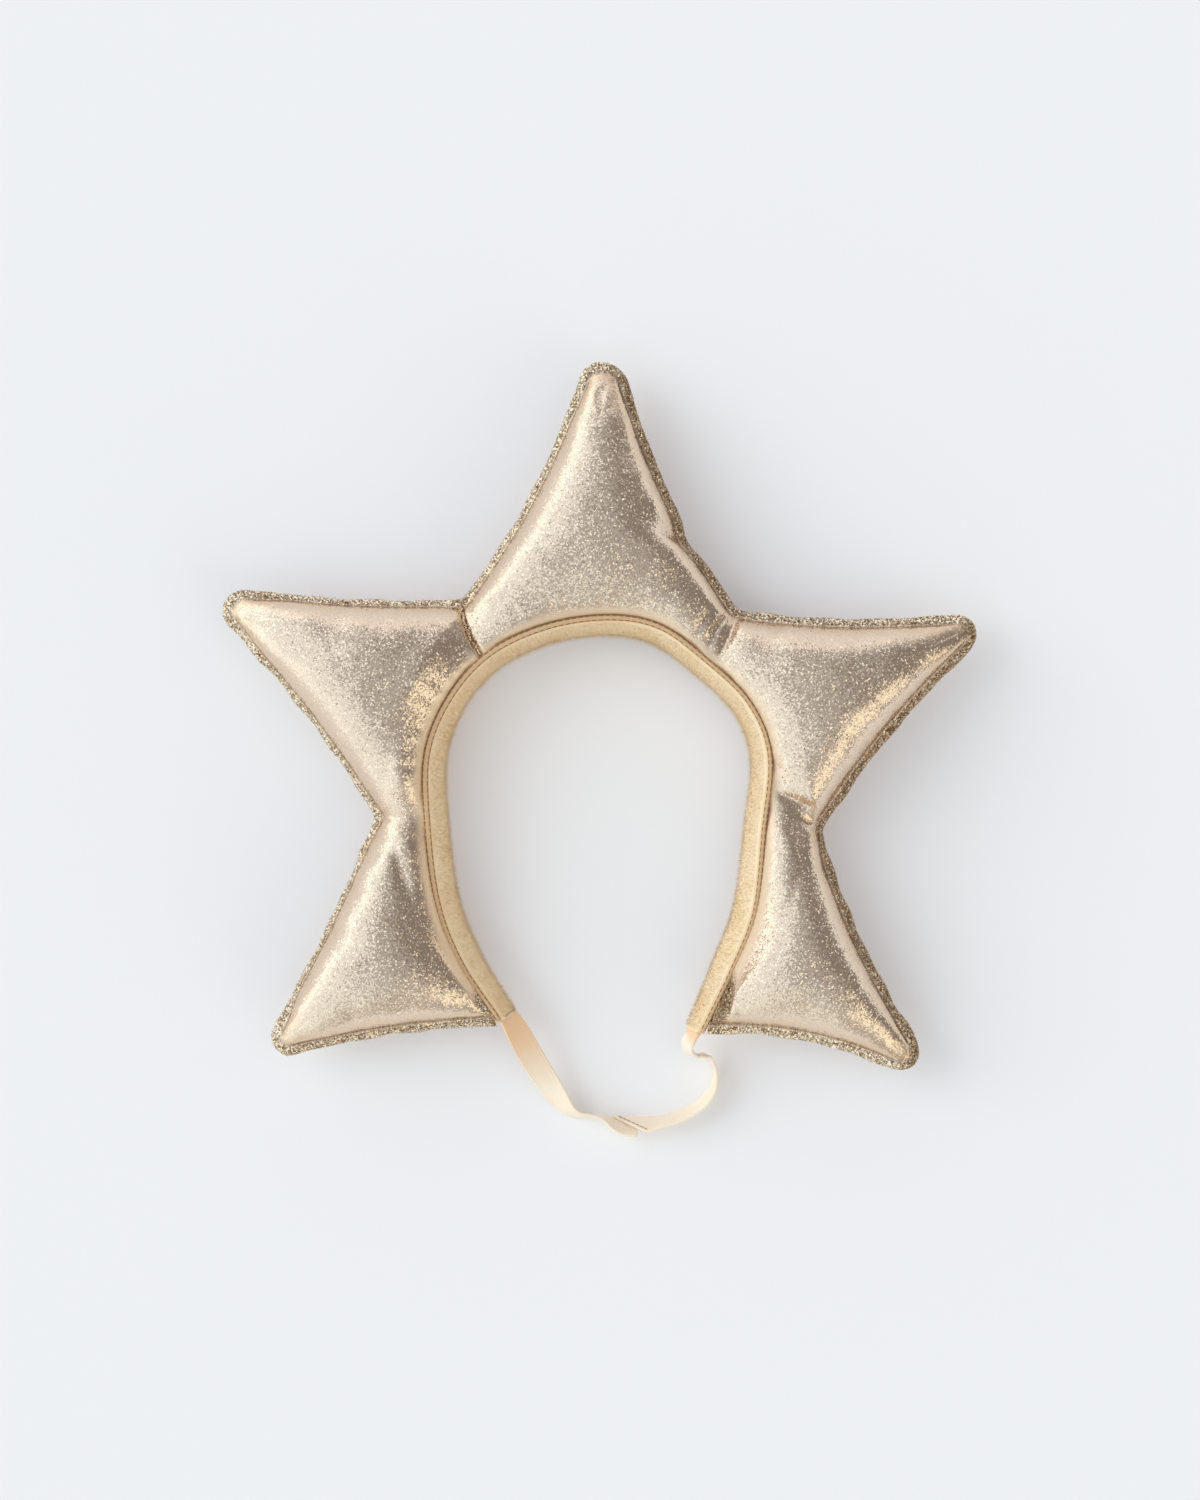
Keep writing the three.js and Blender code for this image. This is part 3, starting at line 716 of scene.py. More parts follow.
def along_line(places, line):
    """Distance on the plan to a line of straight pieces, and the share of it that lies before that."""
    nearest = np.full(len(places), np.inf)
    shares = np.zeros(len(places))
    for number in range(len(line) - 1):
        start = np.array(line[number])
        run = np.array(line[number + 1]) - start
        share = np.clip((places[:, :2] - start) @ run / (run @ run), 0, 1)
        distance = np.linalg.norm(places[:, :2] - start - share[:, None] * run, axis=1)
        nearer = distance < nearest
        nearest[nearer] = distance[nearer]
        shares[nearer] = (number + share[nearer]) / (len(line) - 1)
    return nearest, shares


def relaxed_heights(mesh, places, weight):
    """Heights after the places with weight have settled between their neighbours."""
    ends = np.zeros(len(mesh.edges) * 2, np.int32)
    mesh.edges.foreach_get("vertices", ends)
    first, last = ends.reshape(-1, 2).T
    count = len(places)
    neighbours = np.bincount(ends, minlength=count)
    heights = places[:, 2].copy()
    for _ in range(EASE_ROUNDS):
        total = np.bincount(first, heights[last], count) + np.bincount(last, heights[first], count)
        heights += weight * (total / neighbours - heights)
    return heights


def gathers(places, from_seam, along, from_band, band_run):
    """How far the filled cloth stands out from an even shape."""
    clear = smoothstep(from_seam / CLOTH_WAVE_CLEAR) * smoothstep(from_band / CLOTH_WAVE_CLEAR)
    pull = hump(from_seam, SEAM_WAVE_REACH) * smoothstep(from_band / SEAM_WAVE_CLEAR)
    push = waves(places, *CLOTH_WAVE) * clear
    push += waves(along, *SEAM_WAVE) * pull
    push += waves(along, *SEAM_PUCKER) * hump(from_seam, SEAM_PUCKER_REACH)
    push += waves(band_run, *BAND_PUCKER) * hump(from_band, BAND_PUCKER_REACH)
    return push


def ease_folds(mesh, places, front, outside, edge, from_seam):
    """Lifts the cloth at the feet of the folds, and evens it out over the folds and at the tips."""
    weight = np.zeros(len(places))
    ease = np.zeros(len(places))
    loose = smoothstep((outside - FOLD_EASE_START) / FOLD_EASE_FOOT)
    for fold in FOLDS:
        distance, _ = along_line(places, [fold["rim"], fold["foot"]])
        weight = np.maximum(weight, front * loose * bell(distance, FOLD_EASE_REACH))
        ease += fold["ease"] * (distance < FOLD_EASE_ZONE * FOLD_EASE_REACH)
        if fold["rise"] is not None:
            length = np.linalg.norm(np.array(fold["rim"]) - np.array(fold["foot"]))
            fall = (edge + fold["rise"] - SEAM_HEIGHT) / (length - FOOT_CREST)
            level = edge + fold["rise"] * smoothstep(outside / FOOT_CREST)
            level -= fall * np.maximum(outside - FOOT_CREST, 0)
            lift = FOOT_SOFT * np.logaddexp(0, (level - places[:, 2]) / FOOT_SOFT)
            places[:, 2] += front * lift * bell(distance, FOOT_REACH)
    for point in POINTS:
        distance = np.linalg.norm(places[:, :2] - np.array(point["tip"]), axis=1)
        near = bell(distance, TIP_EASE_REACH) * smoothstep(from_seam / TIP_EASE_SEAM)
        weight = np.maximum(weight, front * near)
        ease += TIP_EASE * (distance < TIP_EASE_ZONE * TIP_EASE_REACH)
    places[:, 2] = lerp(places[:, 2], relaxed_heights(mesh, places, weight), np.minimum(ease, 1))


def dress_cover(piece, seams):
    """Unevenness, gathers and creases of the filled cloth, and the values that its finish reads."""
    mesh = piece.data
    places = corner_places(mesh)
    flange = corner_values(mesh, "flange")
    inside = 1 - flange
    from_seam, along = nearest_on(seams, places)
    from_band, band_run = nearest_on([BAND_LINE], places)
    push = inside * gathers(places, from_seam, along, from_band, band_run)
    places += read(mesh.vertex_normals, "vector", 3) * push[:, None]

    front = inside * smoothstep((places[:, 2] - SEAM_HEIGHT) / FRONT_FADE)
    edge = np.interp(band_run / BAND_LENGTH, BAND_SHARES, band_at(BAND_SHARES).front)
    above = np.maximum(places[:, 2] - edge, 0)
    places[:, 2] -= front * above * BAND_EASE * np.exp(-from_band / BAND_EASE_REACH)
    places[:, 2] += front * BAND_LIP * np.exp(-from_band / BAND_LIP_REACH)
    beside_band = band_at(band_run / BAND_LENGTH)
    outside = -np.sum((places[:, :2] - beside_band.point) * beside_band.inward, axis=1)
    ease_folds(mesh, places, front, outside, edge, from_seam)
    for crease in CREASES:
        distance, share = along_line(places, crease["line"])
        places[:, 2] -= front * lerp(*crease["depth"], share) * bell(distance, crease["half"])

    # Painted shade in the seam's groove, and on the bare flange at the star's ends
    groove_painted_shade = bell(from_seam, GROOVE_PAINTED_SHADE_WIDTH)
    for strip in END_FLANGES:
        from_end = np.linalg.norm(places[:, :2] - np.array(strip["end"]), axis=1)
        width = strip["width"] * smoothstep(END_BLEND - from_end / strip["reach"])
        bare = front * (1 - smoothstep((from_band - width) / END_FADE)) * smoothstep(width)
        level = np.minimum(places[:, 2], BAND_END_FRONT + END_CLIMB * from_end)
        places[:, 2] = lerp(places[:, 2], level, bare)
        flange = np.maximum(flange, bare)
        groove_painted_shade = np.maximum(groove_painted_shade, bare * strip["shade"])
    places[:, 2] = np.maximum(places[:, 2], 0)
    set_places(mesh, places)

    turn = front * (1 - flange) * (1 - smoothstep((from_band - TURN_START) / TURN_FADE))
    pulled = front * (1 - smoothstep((from_seam - PULL_START) / PULL_FADE))
    set_values(mesh, "flange", flange)
    set_values(mesh, "groove_painted_shade", groove_painted_shade)
    set_values(mesh, "turn", turn)
    set_values(mesh, "calm", np.maximum(turn, PULL_SHARE * pulled))
    # Painted shade: a darker gold beside the outer seam
    set_values(mesh, "seam_painted_shade", front * bell(from_seam, SEAM_PAINTED_SHADE_REACH))


COVER_WELD = 0.02  # corners of neighbouring points that lie closer become one
POINT_SEEDS = 10  # seeds kept for each point


def star_cover(material):
    skin = Skin()
    corners = [fold_corner(fold) for fold in FOLDS]
    parts = []
    for number, point in enumerate(POINTS):
        seed = POINT_SEEDS * number
        parts.append(add_point(skin, point, corners[number], corners[number + 1], seed))
    close_end(skin, parts[0], 0)
    close_end(skin, parts[-1], -1)
    piece = new_object(skin.mesh("star_cover", merge=COVER_WELD), material)
    inflate(piece)
    subdivide(piece)
    dress_cover(piece, [part.seam for part in parts])
    return piece, parts


# Band, welt and elastic

WELD = 0.001  # corners of a strip that lie closer become one


def strip(name, rings, material, **values):
    """A closed strip through rings of corners, with flat ends."""
    skin = Skin()
    numbers = skin.add(rings, **values)
    skin.quads(np.concatenate([numbers, numbers[:, :1]], axis=1))
    skin.faces.append(numbers[0].tolist())
    skin.faces.append(numbers[-1][::-1].tolist())
    return new_object(skin.mesh(name, merge=WELD), material)


def rounded_section(width, height, power, sides):
    """Corners round a rectangle with soft corners, from its middle."""
    angle = np.linspace(0, 2 * math.pi, sides, endpoint=False)
    x = np.sign(np.cos(angle)) * np.abs(np.cos(angle)) ** (2 / power)
    y = np.sign(np.sin(angle)) * np.abs(np.sin(angle)) ** (2 / power)
    return x * width / 2, y * height / 2


def add_threads(skin, starts, ends, ups, radius, arch=0.0, sides=6, steps=5, tip=1.0, **values):
    """Short threads from starts to ends that arch towards ups, and narrow to a share of their thickness."""
    t = np.linspace(0, 1, steps + 1)
    along = unit(ends - starts)
    aside = unit(np.cross(along, ups))
    above = np.cross(aside, along)
    rise = arch * 4 * (t * (1 - t))[:, None]
    middle = lerp(starts[:, None], ends[:, None], t[None, :, None]) + above[:, None] * rise[None]
    angle = np.linspace(0, 2 * math.pi, sides, endpoint=False)
    thick = radius * lerp(1, tip, t)[:, None, None]
    around = aside[:, None, None] * np.cos(angle)[:, None] + above[:, None, None] * np.sin(angle)[:, None]
    numbers = skin.add(middle[:, :, None] + thick * around, **values)
    turned = np.roll(numbers, -1, axis=2)
    corners = [numbers[:, :-1], turned[:, :-1], turned[:, 1:], numbers[:, 1:]]
    skin.faces.extend(np.stack(corners, -1).reshape(-1, 4).tolist())
    skin.faces.extend(numbers[:, 0, ::-1].tolist())
    skin.faces.extend(numbers[:, -1].tolist())


def hair_reach(draw, out, lean, length):
    """Random ways near straight out, as long as the hairs."""
    way = unit(out + draw.normal(0, lean, out.shape))
    return way * draw.uniform(*length, len(out))[:, None]


def add_hairs(skin, roots, ends, reach, radius, tip, **values):
    """Straight threads with three sides."""
    ups = np.roll(reach, 1, axis=1)
    add_threads(skin, roots, ends, ups, radius, sides=3, steps=1, tip=tip, **values)


def beside_band(edge, inward, heights):
    """Places so far inside the band's front edge, at these heights."""
    return np.concatenate([edge.point + edge.inward * inward[..., None], heights[..., None]], -1)


def stitches(name, material, rows, radius, arch):
    """A piece of short threads, from rows of their starts, ends and ways up."""
    skin = Skin()
    for starts, ends, ups in rows:
        add_threads(skin, starts, ends, ups, radius, arch)
    return new_object(skin.mesh(name), material)


BAND_HEM = 0.9  # how far the velvet reaches over the elastic at each end


def head_band(material):
    edge = band_at(np.linspace(0, 1, BAND_STEPS + 1)[:, None])
    x, y = rounded_section(BAND_THICKNESS, 1, *BAND_SECTION)
    share = 0.5 - y
    inward = CLEARANCE + BAND_THICKNESS / 2 + x + edge.lean * share
    rings = beside_band(edge, inward, edge.front - (edge.front - edge.back) * share)
    first = rings[:1] + unit(rings[0] - rings[1]) * BAND_HEM
    last = rings[-1:] + unit(rings[-1] - rings[-2]) * BAND_HEM
    return strip("band_velvet", np.concatenate([first, rings, last]), material)


WELT_TUCK = 0.35  # how far the welt reaches under the glitter cloth
WELT_STANDS = 1.1  # how far it stands up from the band
# Share of the band's length, from its left end, and how wide the welt shows there
WELT_SHOWS = [(0.0, 1.4), (0.2, 1.9), (0.5, 1.7), (0.65, 1.2), (1.0, 1.2)]


def welt_shows(shares):
    return np.interp(shares, *zip(*WELT_SHOWS))


def front_welt(material):
    shares = np.linspace(0, 1, BAND_STEPS + 1)[:, None]
    edge = band_at(shares)
    width = welt_shows(shares)
    x, y = rounded_section(1, WELT_HEIGHT, *WELT_SECTION)
    inward = width / 2 + (width + 2 * WELT_TUCK) * x
    heights = edge.front + WELT_STANDS - WELT_HEIGHT / 2 + y
    return strip("welt", beside_band(edge, inward, heights), material)


STITCH_START = 1.0  # from the band's end
STITCH_PITCH = 2.7
STITCH_LENGTH = 2.3
STITCH_RADIUS = 0.26
STITCH_ARCH = 0.12
WELT_STITCH_ROWS = [(0.0, 0.8), (1.0, 0.72)]  # share of the welt's width, and height above the band


def welt_stitches(material):
    """The two rows of thread along the welt."""
    run = np.arange(STITCH_START, BAND_LENGTH - STITCH_PITCH, STITCH_PITCH)
    ups = np.tile([0.0, 0.0, 1.0], (len(run), 1))
    rows = []
    for side, rise in WELT_STITCH_ROWS:
        row = []
        for shares in (run / BAND_LENGTH, (run + STITCH_LENGTH) / BAND_LENGTH):
            edge = band_at(shares)
            row.append(beside_band(edge, side * welt_shows(shares), edge.front + rise))
        rows.append((*row, ups))
    return stitches("welt_stitches", material, rows, STITCH_RADIUS, STITCH_ARCH)


def band_face(shares, across):
    """Places on the band's inner face, across it from the front edge, and the way it faces."""
    edge = band_at(shares)
    inward = CLEARANCE + BAND_THICKNESS + edge.lean * across
    height = edge.front - edge.back
    places = beside_band(edge, inward, edge.front - height * across)
    return places, unit(np.column_stack([edge.inward * height[:, None], edge.lean]))


FUZZ_SEED = 5
FUZZ_COUNT = 22000
FUZZ_ACROSS = (0.99, 0.02)  # the pile is densest at the first of these shares of the band's height
FUZZ_LENGTH = (0.6, 2.0)
FUZZ_RADIUS = 0.05
FUZZ_LEAN = 0.35
FUZZ_ROOT = 0.1  # how deep the hairs start
FUZZ_TIP = 0.2


def band_fuzz(material):
    """The velvet's pile where it shows against the light."""
    draw = np.random.default_rng(FUZZ_SEED)
    across = lerp(*FUZZ_ACROSS, draw.uniform(0, 1, FUZZ_COUNT) ** 2)
    places, facing = band_face(draw.uniform(0, 1, FUZZ_COUNT), across)
    reach = hair_reach(draw, facing, FUZZ_LEAN, FUZZ_LENGTH)
    skin = Skin()
    add_hairs(skin, places - facing * FUZZ_ROOT, places + reach, reach, FUZZ_RADIUS, FUZZ_TIP)
    return new_object(skin.mesh("band_pile"), material)


FRAY_SEED = 6
FRAY_SPACING = 0.55
FRAY_LENGTH = (0.3, 1.2)
FRAY_RADIUS = 0.09
FRAY_LEAN = 0.5
FRAY_ROOT = 0.4  # how far inside the raw edge the threads start
FRAY_SPREAD = 0.4  # how far above or below its middle
FRAY_TIP = 0.3


def flange_fray(parts, material):
    """Cut thread ends along the raw edges."""
    draw = np.random.default_rng(FRAY_SEED)
    skin = Skin()
    for part in parts:
        line = dense(part.raw, FRAY_SPACING)
        inner = dense(np.column_stack([part.seam, part.raw[:, 2]]), FRAY_SPACING)
        nearest = np.argmin(np.linalg.norm(line[:, None] - inner[None], axis=2), axis=1)
        out = unit(line - inner[nearest])
        reach = hair_reach(draw, out, FRAY_LEAN, FRAY_LENGTH)
        roots = line - out * FRAY_ROOT
        roots[:, 2] += draw.uniform(-FRAY_SPREAD, FRAY_SPREAD, len(line))
        add_hairs(skin, roots, roots + reach, reach, FRAY_RADIUS, FRAY_TIP, flange=1.0)
    return new_object(skin.mesh("flange_fray"), material)


FOLD_EDGE_LINE = [(-55.6, 45.0), (-54.2, 38.4), (-51.6, 31.2), (-47.2, 24.2)]
FOLD_EDGE_WIDTH = 0.8
FOLD_EDGE_HEIGHT = 2.2
FOLD_EDGE_STANDS = 0.3  # from the bottom of the crease to the middle of the strip
FOLD_EDGE_SWAY = (0.25, 5, 8)  # how far it sways, in what length, and the seed
FRONT_CLEAR = 0.5  # height over the seam from which corners of the cover count as its front
GROUND_CORNERS = 4  # corners that give the height of the cloth at a spot
GROUND_SPOTS = 7  # spots over which that height is evened out


def fold_edge(cover, material):
    """The raw edge that stands in the sewn fold between the upper left point and the top point."""
    spots = dense(np.array(FOLD_EDGE_LINE), LINE_SPACING)
    places = corner_places(cover.data)
    places = places[places[:, 2] > SEAM_HEIGHT + FRONT_CLEAR]
    ground = []
    for spot in spots:
        distance = np.linalg.norm(places[:, :2] - spot, axis=1)
        ground.append(np.mean(places[np.argsort(distance)[:GROUND_CORNERS], 2]))
    ground = np.pad(ground, GROUND_SPOTS // 2, mode="edge")
    ground = np.convolve(ground, np.full(GROUND_SPOTS, 1 / GROUND_SPOTS), mode="valid")
    heading = unit(np.gradient(spots, axis=0))
    aside = np.column_stack([heading[:, 1], -heading[:, 0]])
    sway = waves(np.arange(len(spots)) * LINE_SPACING, *FOLD_EDGE_SWAY)
    x, y = rounded_section(FOLD_EDGE_WIDTH, FOLD_EDGE_HEIGHT, *FOLD_EDGE_SECTION)
    rings = np.empty((len(spots), len(x), 3))
    rings[..., :2] = spots[:, None] + aside[:, None] * (x[None] + sway[:, None])[..., None]
    rings[..., 2] = (ground + FOLD_EDGE_STANDS)[:, None] + y[None]
    return strip("fold_edge", rings, material, flange=1.0)


OVERCAST_COUNT = 5
OVERCAST_RADIUS = 0.11
OVERCAST_ARCH = 0.3
OVERCAST_ACROSS = (0.1, 0.8)  # shares of the band's height at the first and last stitch
OVERCAST_SLANT = 0.08  # share of it that a thread moves on each way
OVERCAST_REACH = 1.5  # from the end of the band to where the thread goes in
OVERCAST_PAST = 0.15  # how far the thread reaches past the end
OVERCAST_DROP = 0.5  # how far it drops there


def end_stitches(material):
    """Overcast stitches over the band's left end."""
    across = np.linspace(*OVERCAST_ACROSS, OVERCAST_COUNT)
    inner = np.full(OVERCAST_COUNT, (OVERCAST_REACH - BAND_HEM) / BAND_LENGTH)
    roots, facing = band_face(inner, across)
    tips, _ = band_face(np.zeros(OVERCAST_COUNT), across + OVERCAST_SLANT)
    tips += unit(tips - roots) * (BAND_HEM + OVERCAST_PAST) - facing * OVERCAST_DROP
    back, _ = band_face(inner, across + 2 * OVERCAST_SLANT)
    rows = [(roots, tips, facing), (tips, back, facing)]
    return stitches("end_stitches", material, rows, OVERCAST_RADIUS, OVERCAST_ARCH)


ELASTIC_RIBS = 9
RIB_DEPTH = 0.1  # share of the thickness


def elastic(strap, material):
    """A length of flat elastic: the piece, its middle line, its length and how its far end lies."""
    line, length = even_curve(strap["rows"], ELASTIC_STEPS, 3)
    middle = line[:, :3]
    heading = unit(np.gradient(middle, axis=0))
    right = unit(np.column_stack([heading[:, 1], -heading[:, 0], np.zeros(len(heading))]))
    up = np.cross(right, heading)
    turn = np.radians(line[:, 3])[:, None]
    across = right * np.cos(turn) - up * np.sin(turn)
    face = up * np.cos(turn) + right * np.sin(turn)
    x, y = rounded_section(ELASTIC_WIDTH, ELASTIC_THICKNESS, *ELASTIC_SECTION)
    y = y * (1 + RIB_DEPTH * np.cos(2 * math.pi * ELASTIC_RIBS * x / ELASTIC_WIDTH))
    run = np.linspace(0, length, ELASTIC_STEPS + 1)
    slant = strap["skew"] * smoothstep((run - length) / LAP_LENGTH + 1)
    shift = slant[:, None] * x[None] / (ELASTIC_WIDTH / 2)
    rings = (
        middle[:, None]
        + across[:, None] * x[None, :, None]
        + face[:, None] * y[None, :, None]
        + heading[:, None] * shift[..., None]
    )
    full, gone = strap["fade"]
    # Painted shade: a deeper peach near the band, where the strap turns away from the light
    peach = 1 - smoothstep((run - full) / (gone - full))
    piece = strip(strap["node"] + "_strap", rings, material, peach=peach[:, None])
    end = SimpleNamespace(middle=middle[-1], heading=heading[-1], across=across[-1], face=face[-1])
    return SimpleNamespace(piece=piece, middle=middle, length=length, end=end)


LAP_STITCHES = 7
LAP_STITCH_HALF = 4.4  # from the strap's middle to the first and last stitch
LAP_STITCH_SHARE = 0.8  # of the way to the next stitch
LAP_STITCH_RADIUS = 0.16
LAP_STITCH_ARCH = 0.15
LAP_STITCH_LIFT = 0.1
LAP_INSET = 1.3  # from the cut end to the row of stitches


def lap_stitches(end, material):
    """The row of thread beside the slanted end that lies on top of the joint."""
    x = np.linspace(-LAP_STITCH_HALF, LAP_STITCH_HALF, LAP_STITCHES + 1)[:, None]
    along = LAP_SKEW * x / (ELASTIC_WIDTH / 2) - LAP_INSET
    lift = ELASTIC_THICKNESS / 2 + LAP_STITCH_LIFT
    spots = end.middle + end.across * x + end.heading * along + end.face * lift
    stops = lerp(spots[:-1], spots[1:], LAP_STITCH_SHARE)
    rows = [(spots[:-1], stops, np.tile(end.face, (LAP_STITCHES, 1)))]
    return stitches("lap_stitches", material, rows, LAP_STITCH_RADIUS, LAP_STITCH_ARCH)


# Materials


class Graph:
    """Adds nodes whose inputs are given by name or number, as values or as other nodes' outputs."""

    def __init__(self, tree):
        self.tree = tree

    def fill(self, node, inputs):
        for key, value in inputs.items():
            if isinstance(value, bpy.types.NodeSocket):
                self.tree.links.new(value, node.inputs[key])
            else:
                node.inputs[key].default_value = value

    def node(self, kind, inputs, **settings):
        node = self.tree.nodes.new("ShaderNode" + kind)
        for name, value in settings.items():
            setattr(node, name, value)
        self.fill(node, inputs)
        return node

    def math(self, operation, *values):
        return self.node("Math", dict(enumerate(values)), operation=operation).outputs[0]

    def vector(self, operation, a, b):
        key = "Scale" if operation == "SCALE" else 1
        return self.node("VectorMath", {0: a, key: b}, operation=operation).outputs[0]

    def normalized(self, vector):
        return self.node("VectorMath", {0: vector}, operation="NORMALIZE").outputs[0]

    def mix(self, factor, a, b):
        return self.node("Mix", {0: factor, 6: a, 7: b}, data_type="RGBA").outputs[2]

    def range(self, value, low, high, to_low=0.0, to_high=1.0):
        inputs = {"Value": value, "From Min": low, "From Max": high, "To Min": to_low, "To Max": to_high}
        return self.node("MapRange", inputs).outputs[0]

    def fade(self, value, none, full):
        """One number where the value is 0, and another where it is 1."""
        return self.range(value, 0.0, 1.0, none, full)

    def noise(self, coords, size_mm, detail):
        inputs = {"Vector": coords, "Scale": 1 / (size_mm * MM), "Detail": detail}
        return self.node("TexNoise", inputs).outputs[0]

    def bump(self, height, strength, depth_mm):
        inputs = {"Height": height, "Strength": strength, "Distance": depth_mm * MM}
        return self.node("Bump", inputs).outputs[0]

    def place(self):
        return self.node("TexCoord", {}).outputs["Object"]

    def value(self, name):
        return self.node("Attribute", {}, attribute_name=name).outputs["Fac"]


class Finish(Graph):
    """A new material with the nodes that feed its shader."""

    def __init__(self, name):
        self.material = bpy.data.materials.new(name)
        self.material.use_nodes = True
        super().__init__(self.material.node_tree)

    def done(self, inputs):
        self.fill(self.tree.nodes["Principled BSDF"], inputs)
        return self.material


# Glitter: each flake has its own luck, from 0 to 1. Pairs of tones go from dark to pale
FLAKE = 0.5  # size of a flake
FLAKE_TILT = (0.50, 1.0, 0.22, 0.95)  # luck between which the tilt rises, and the tilt at both
FLANGE_TILT = 0.75  # how much more flakes tilt on the flange
CALM_TILT = 0.3  # share of the tilt that is left where cloth is smooth
CLOTH_LUCK = (0.0, 0.8)  # luck between which the tone goes from dark to pale
CLOTH_TONES = ((0.78, 0.63, 0.50, 1), (0.94, 0.777, 0.622, 1))
FLANGE_LUCK = (0.22, 0.55)
FLANGE_TONES = ((0.32, 0.195, 0.10, 1), (1.0, 0.85, 0.65, 1))
LEE_PAINTED_SHADE = 0.6  # how far the flange's tone goes to dark where it points to the right, as painted shade away from the light
TURN_SHARE = 0.8  # share of this tone beside the welt
TURN_TONE = (0.88, 0.69, 0.48, 1)
SEAM_PAINTED_SHADE_SHARE = 0.55  # share of this darker gold beside the outer seam, as painted shade
SEAM_PAINTED_SHADE_TONE = (0.70, 0.49, 0.28, 1)
GROOVE_PAINTED_SHADE_SHARE = 0.42  # share of this tone as painted shade in the seam's groove and on the bare end flanges
GROOVE_PAINTED_SHADE_TONE = (0.24, 0.125, 0.045, 1)
METAL = (0.95, 0.45)  # on open cloth and beside the welt
FLAKE_ROUGH = (0.22, 0.12)
TURN_ROUGH = 0.3  # how much rougher it is beside the welt


def glitter_cloth():
    graph = Finish("glitter_cloth")
    place = graph.place()
    cells = graph.node("TexVoronoi", {"Vector": place, "Scale": 1 / (FLAKE * MM)})
    draw = graph.node("TexWhiteNoise", {"Vector": cells.outputs["Position"]}, noise_dimensions="3D")
    luck = draw.outputs["Value"]
    flange = graph.value("flange")
    turn = graph.value("turn")

    uneven = graph.bump(graph.noise(place, size_mm=5.0, detail=3.0), strength=0.2, depth_mm=0.6)
    way = graph.vector("SUBTRACT", cells.outputs["Color"], (0.5, 0.5, 0.5))
    tilt = graph.math("MULTIPLY_ADD", flange, FLANGE_TILT, graph.range(luck, *FLAKE_TILT))
    tilt = graph.math("MULTIPLY", tilt, graph.fade(graph.value("calm"), 1.0, CALM_TILT))
    normal = graph.vector("ADD", uneven, graph.vector("SCALE", way, tilt))

    cloth = graph.mix(graph.range(luck, *CLOTH_LUCK), *CLOTH_TONES)
    cloth = graph.mix(graph.fade(turn, 0.0, TURN_SHARE), cloth, TURN_TONE)
    # Painted shade: a darker gold beside the outer seam
    cloth = graph.mix(graph.fade(graph.value("seam_painted_shade"), 0.0, SEAM_PAINTED_SHADE_SHARE), cloth, SEAM_PAINTED_SHADE_TONE)
    # Painted shade on the flange where it points away from the light
    shade = graph.fade(graph.value("lee"), 0.0, LEE_PAINTED_SHADE)
    edge = graph.mix(graph.math("SUBTRACT", graph.range(luck, *FLANGE_LUCK), shade), *FLANGE_TONES)
    # Painted shade in the seam's groove and on the bare end flanges
    dark = graph.math("MULTIPLY", graph.value("groove_painted_shade"), GROOVE_PAINTED_SHADE_SHARE)
    rough = graph.math("ADD", graph.fade(luck, *FLAKE_ROUGH), graph.fade(turn, 0.0, TURN_ROUGH))
    finish = {
        "Base Color": graph.mix(dark, graph.mix(flange, cloth, edge), GROOVE_PAINTED_SHADE_TONE),
        "Metallic": graph.fade(turn, *METAL),
        "Roughness": rough,
        "Normal": graph.normalized(normal),
    }
    return graph.done(finish)


VELVET_TONES = ((0.89, 0.70, 0.44, 1), (0.94, 0.775, 0.545, 1))
VELVET_DARK = (0.80, 0.58, 0.33, 1)
VELVET_SHEEN = (1.0, 0.86, 0.62, 1)


def velvet():
    graph = Finish("velvet")
    place = graph.place()
    nap = graph.range(graph.noise(place, size_mm=14.0, detail=1.0), 0.35, 0.65)
    pile = graph.noise(place, size_mm=0.5, detail=1.0)
    dark = graph.range(pile, 0.3, 0.7, to_high=0.25)
    finish = {
        "Base Color": graph.mix(dark, graph.mix(nap, *VELVET_TONES), VELVET_DARK),
        "Roughness": 0.95,
        "Sheen Weight": 1.0,
        "Sheen Roughness": 0.4,
        "Sheen Tint": VELVET_SHEEN,
        "Normal": graph.bump(pile, strength=0.3, depth_mm=0.2),
    }
    return graph.done(finish)


WELT_TONES = ((0.56, 0.36, 0.19, 1), (0.72, 0.50, 0.29, 1))
WELT_WEAVE = {"size_mm": 0.5, "detail": 2.0, "span": (0.3, 0.7), "roughness": 0.7, "depth_mm": 0.2}
BROWN_TONES = ((0.17, 0.085, 0.032, 1), (0.34, 0.19, 0.08, 1))
ROSE_TONES = ((0.30, 0.15, 0.09, 1), (0.48, 0.28, 0.18, 1))


def yarn(name, tones, size_mm=0.4, detail=1.0, span=(0.35, 0.65), roughness=0.6, depth_mm=0.1):
    """Thread, or cloth that is woven of it."""
    graph = Finish(name)
    twist = graph.noise(graph.place(), size_mm, detail)
    tone = graph.mix(graph.range(twist, *span), *tones)
    bump = graph.bump(twist, strength=0.4, depth_mm=depth_mm)
    return graph.done({"Base Color": tone, "Roughness": roughness, "Normal": bump})


ELASTIC_TONES = ((0.95, 0.82, 0.65, 1), (0.97, 0.88, 0.75, 1))
# Deeper peach near the band: painted shade where the strap turns away from the light
ELASTIC_PAINTED_SHADE_PEACH = (0.90, 0.60, 0.37, 1)
ELASTIC_DARK = (0.82, 0.62, 0.42, 1)


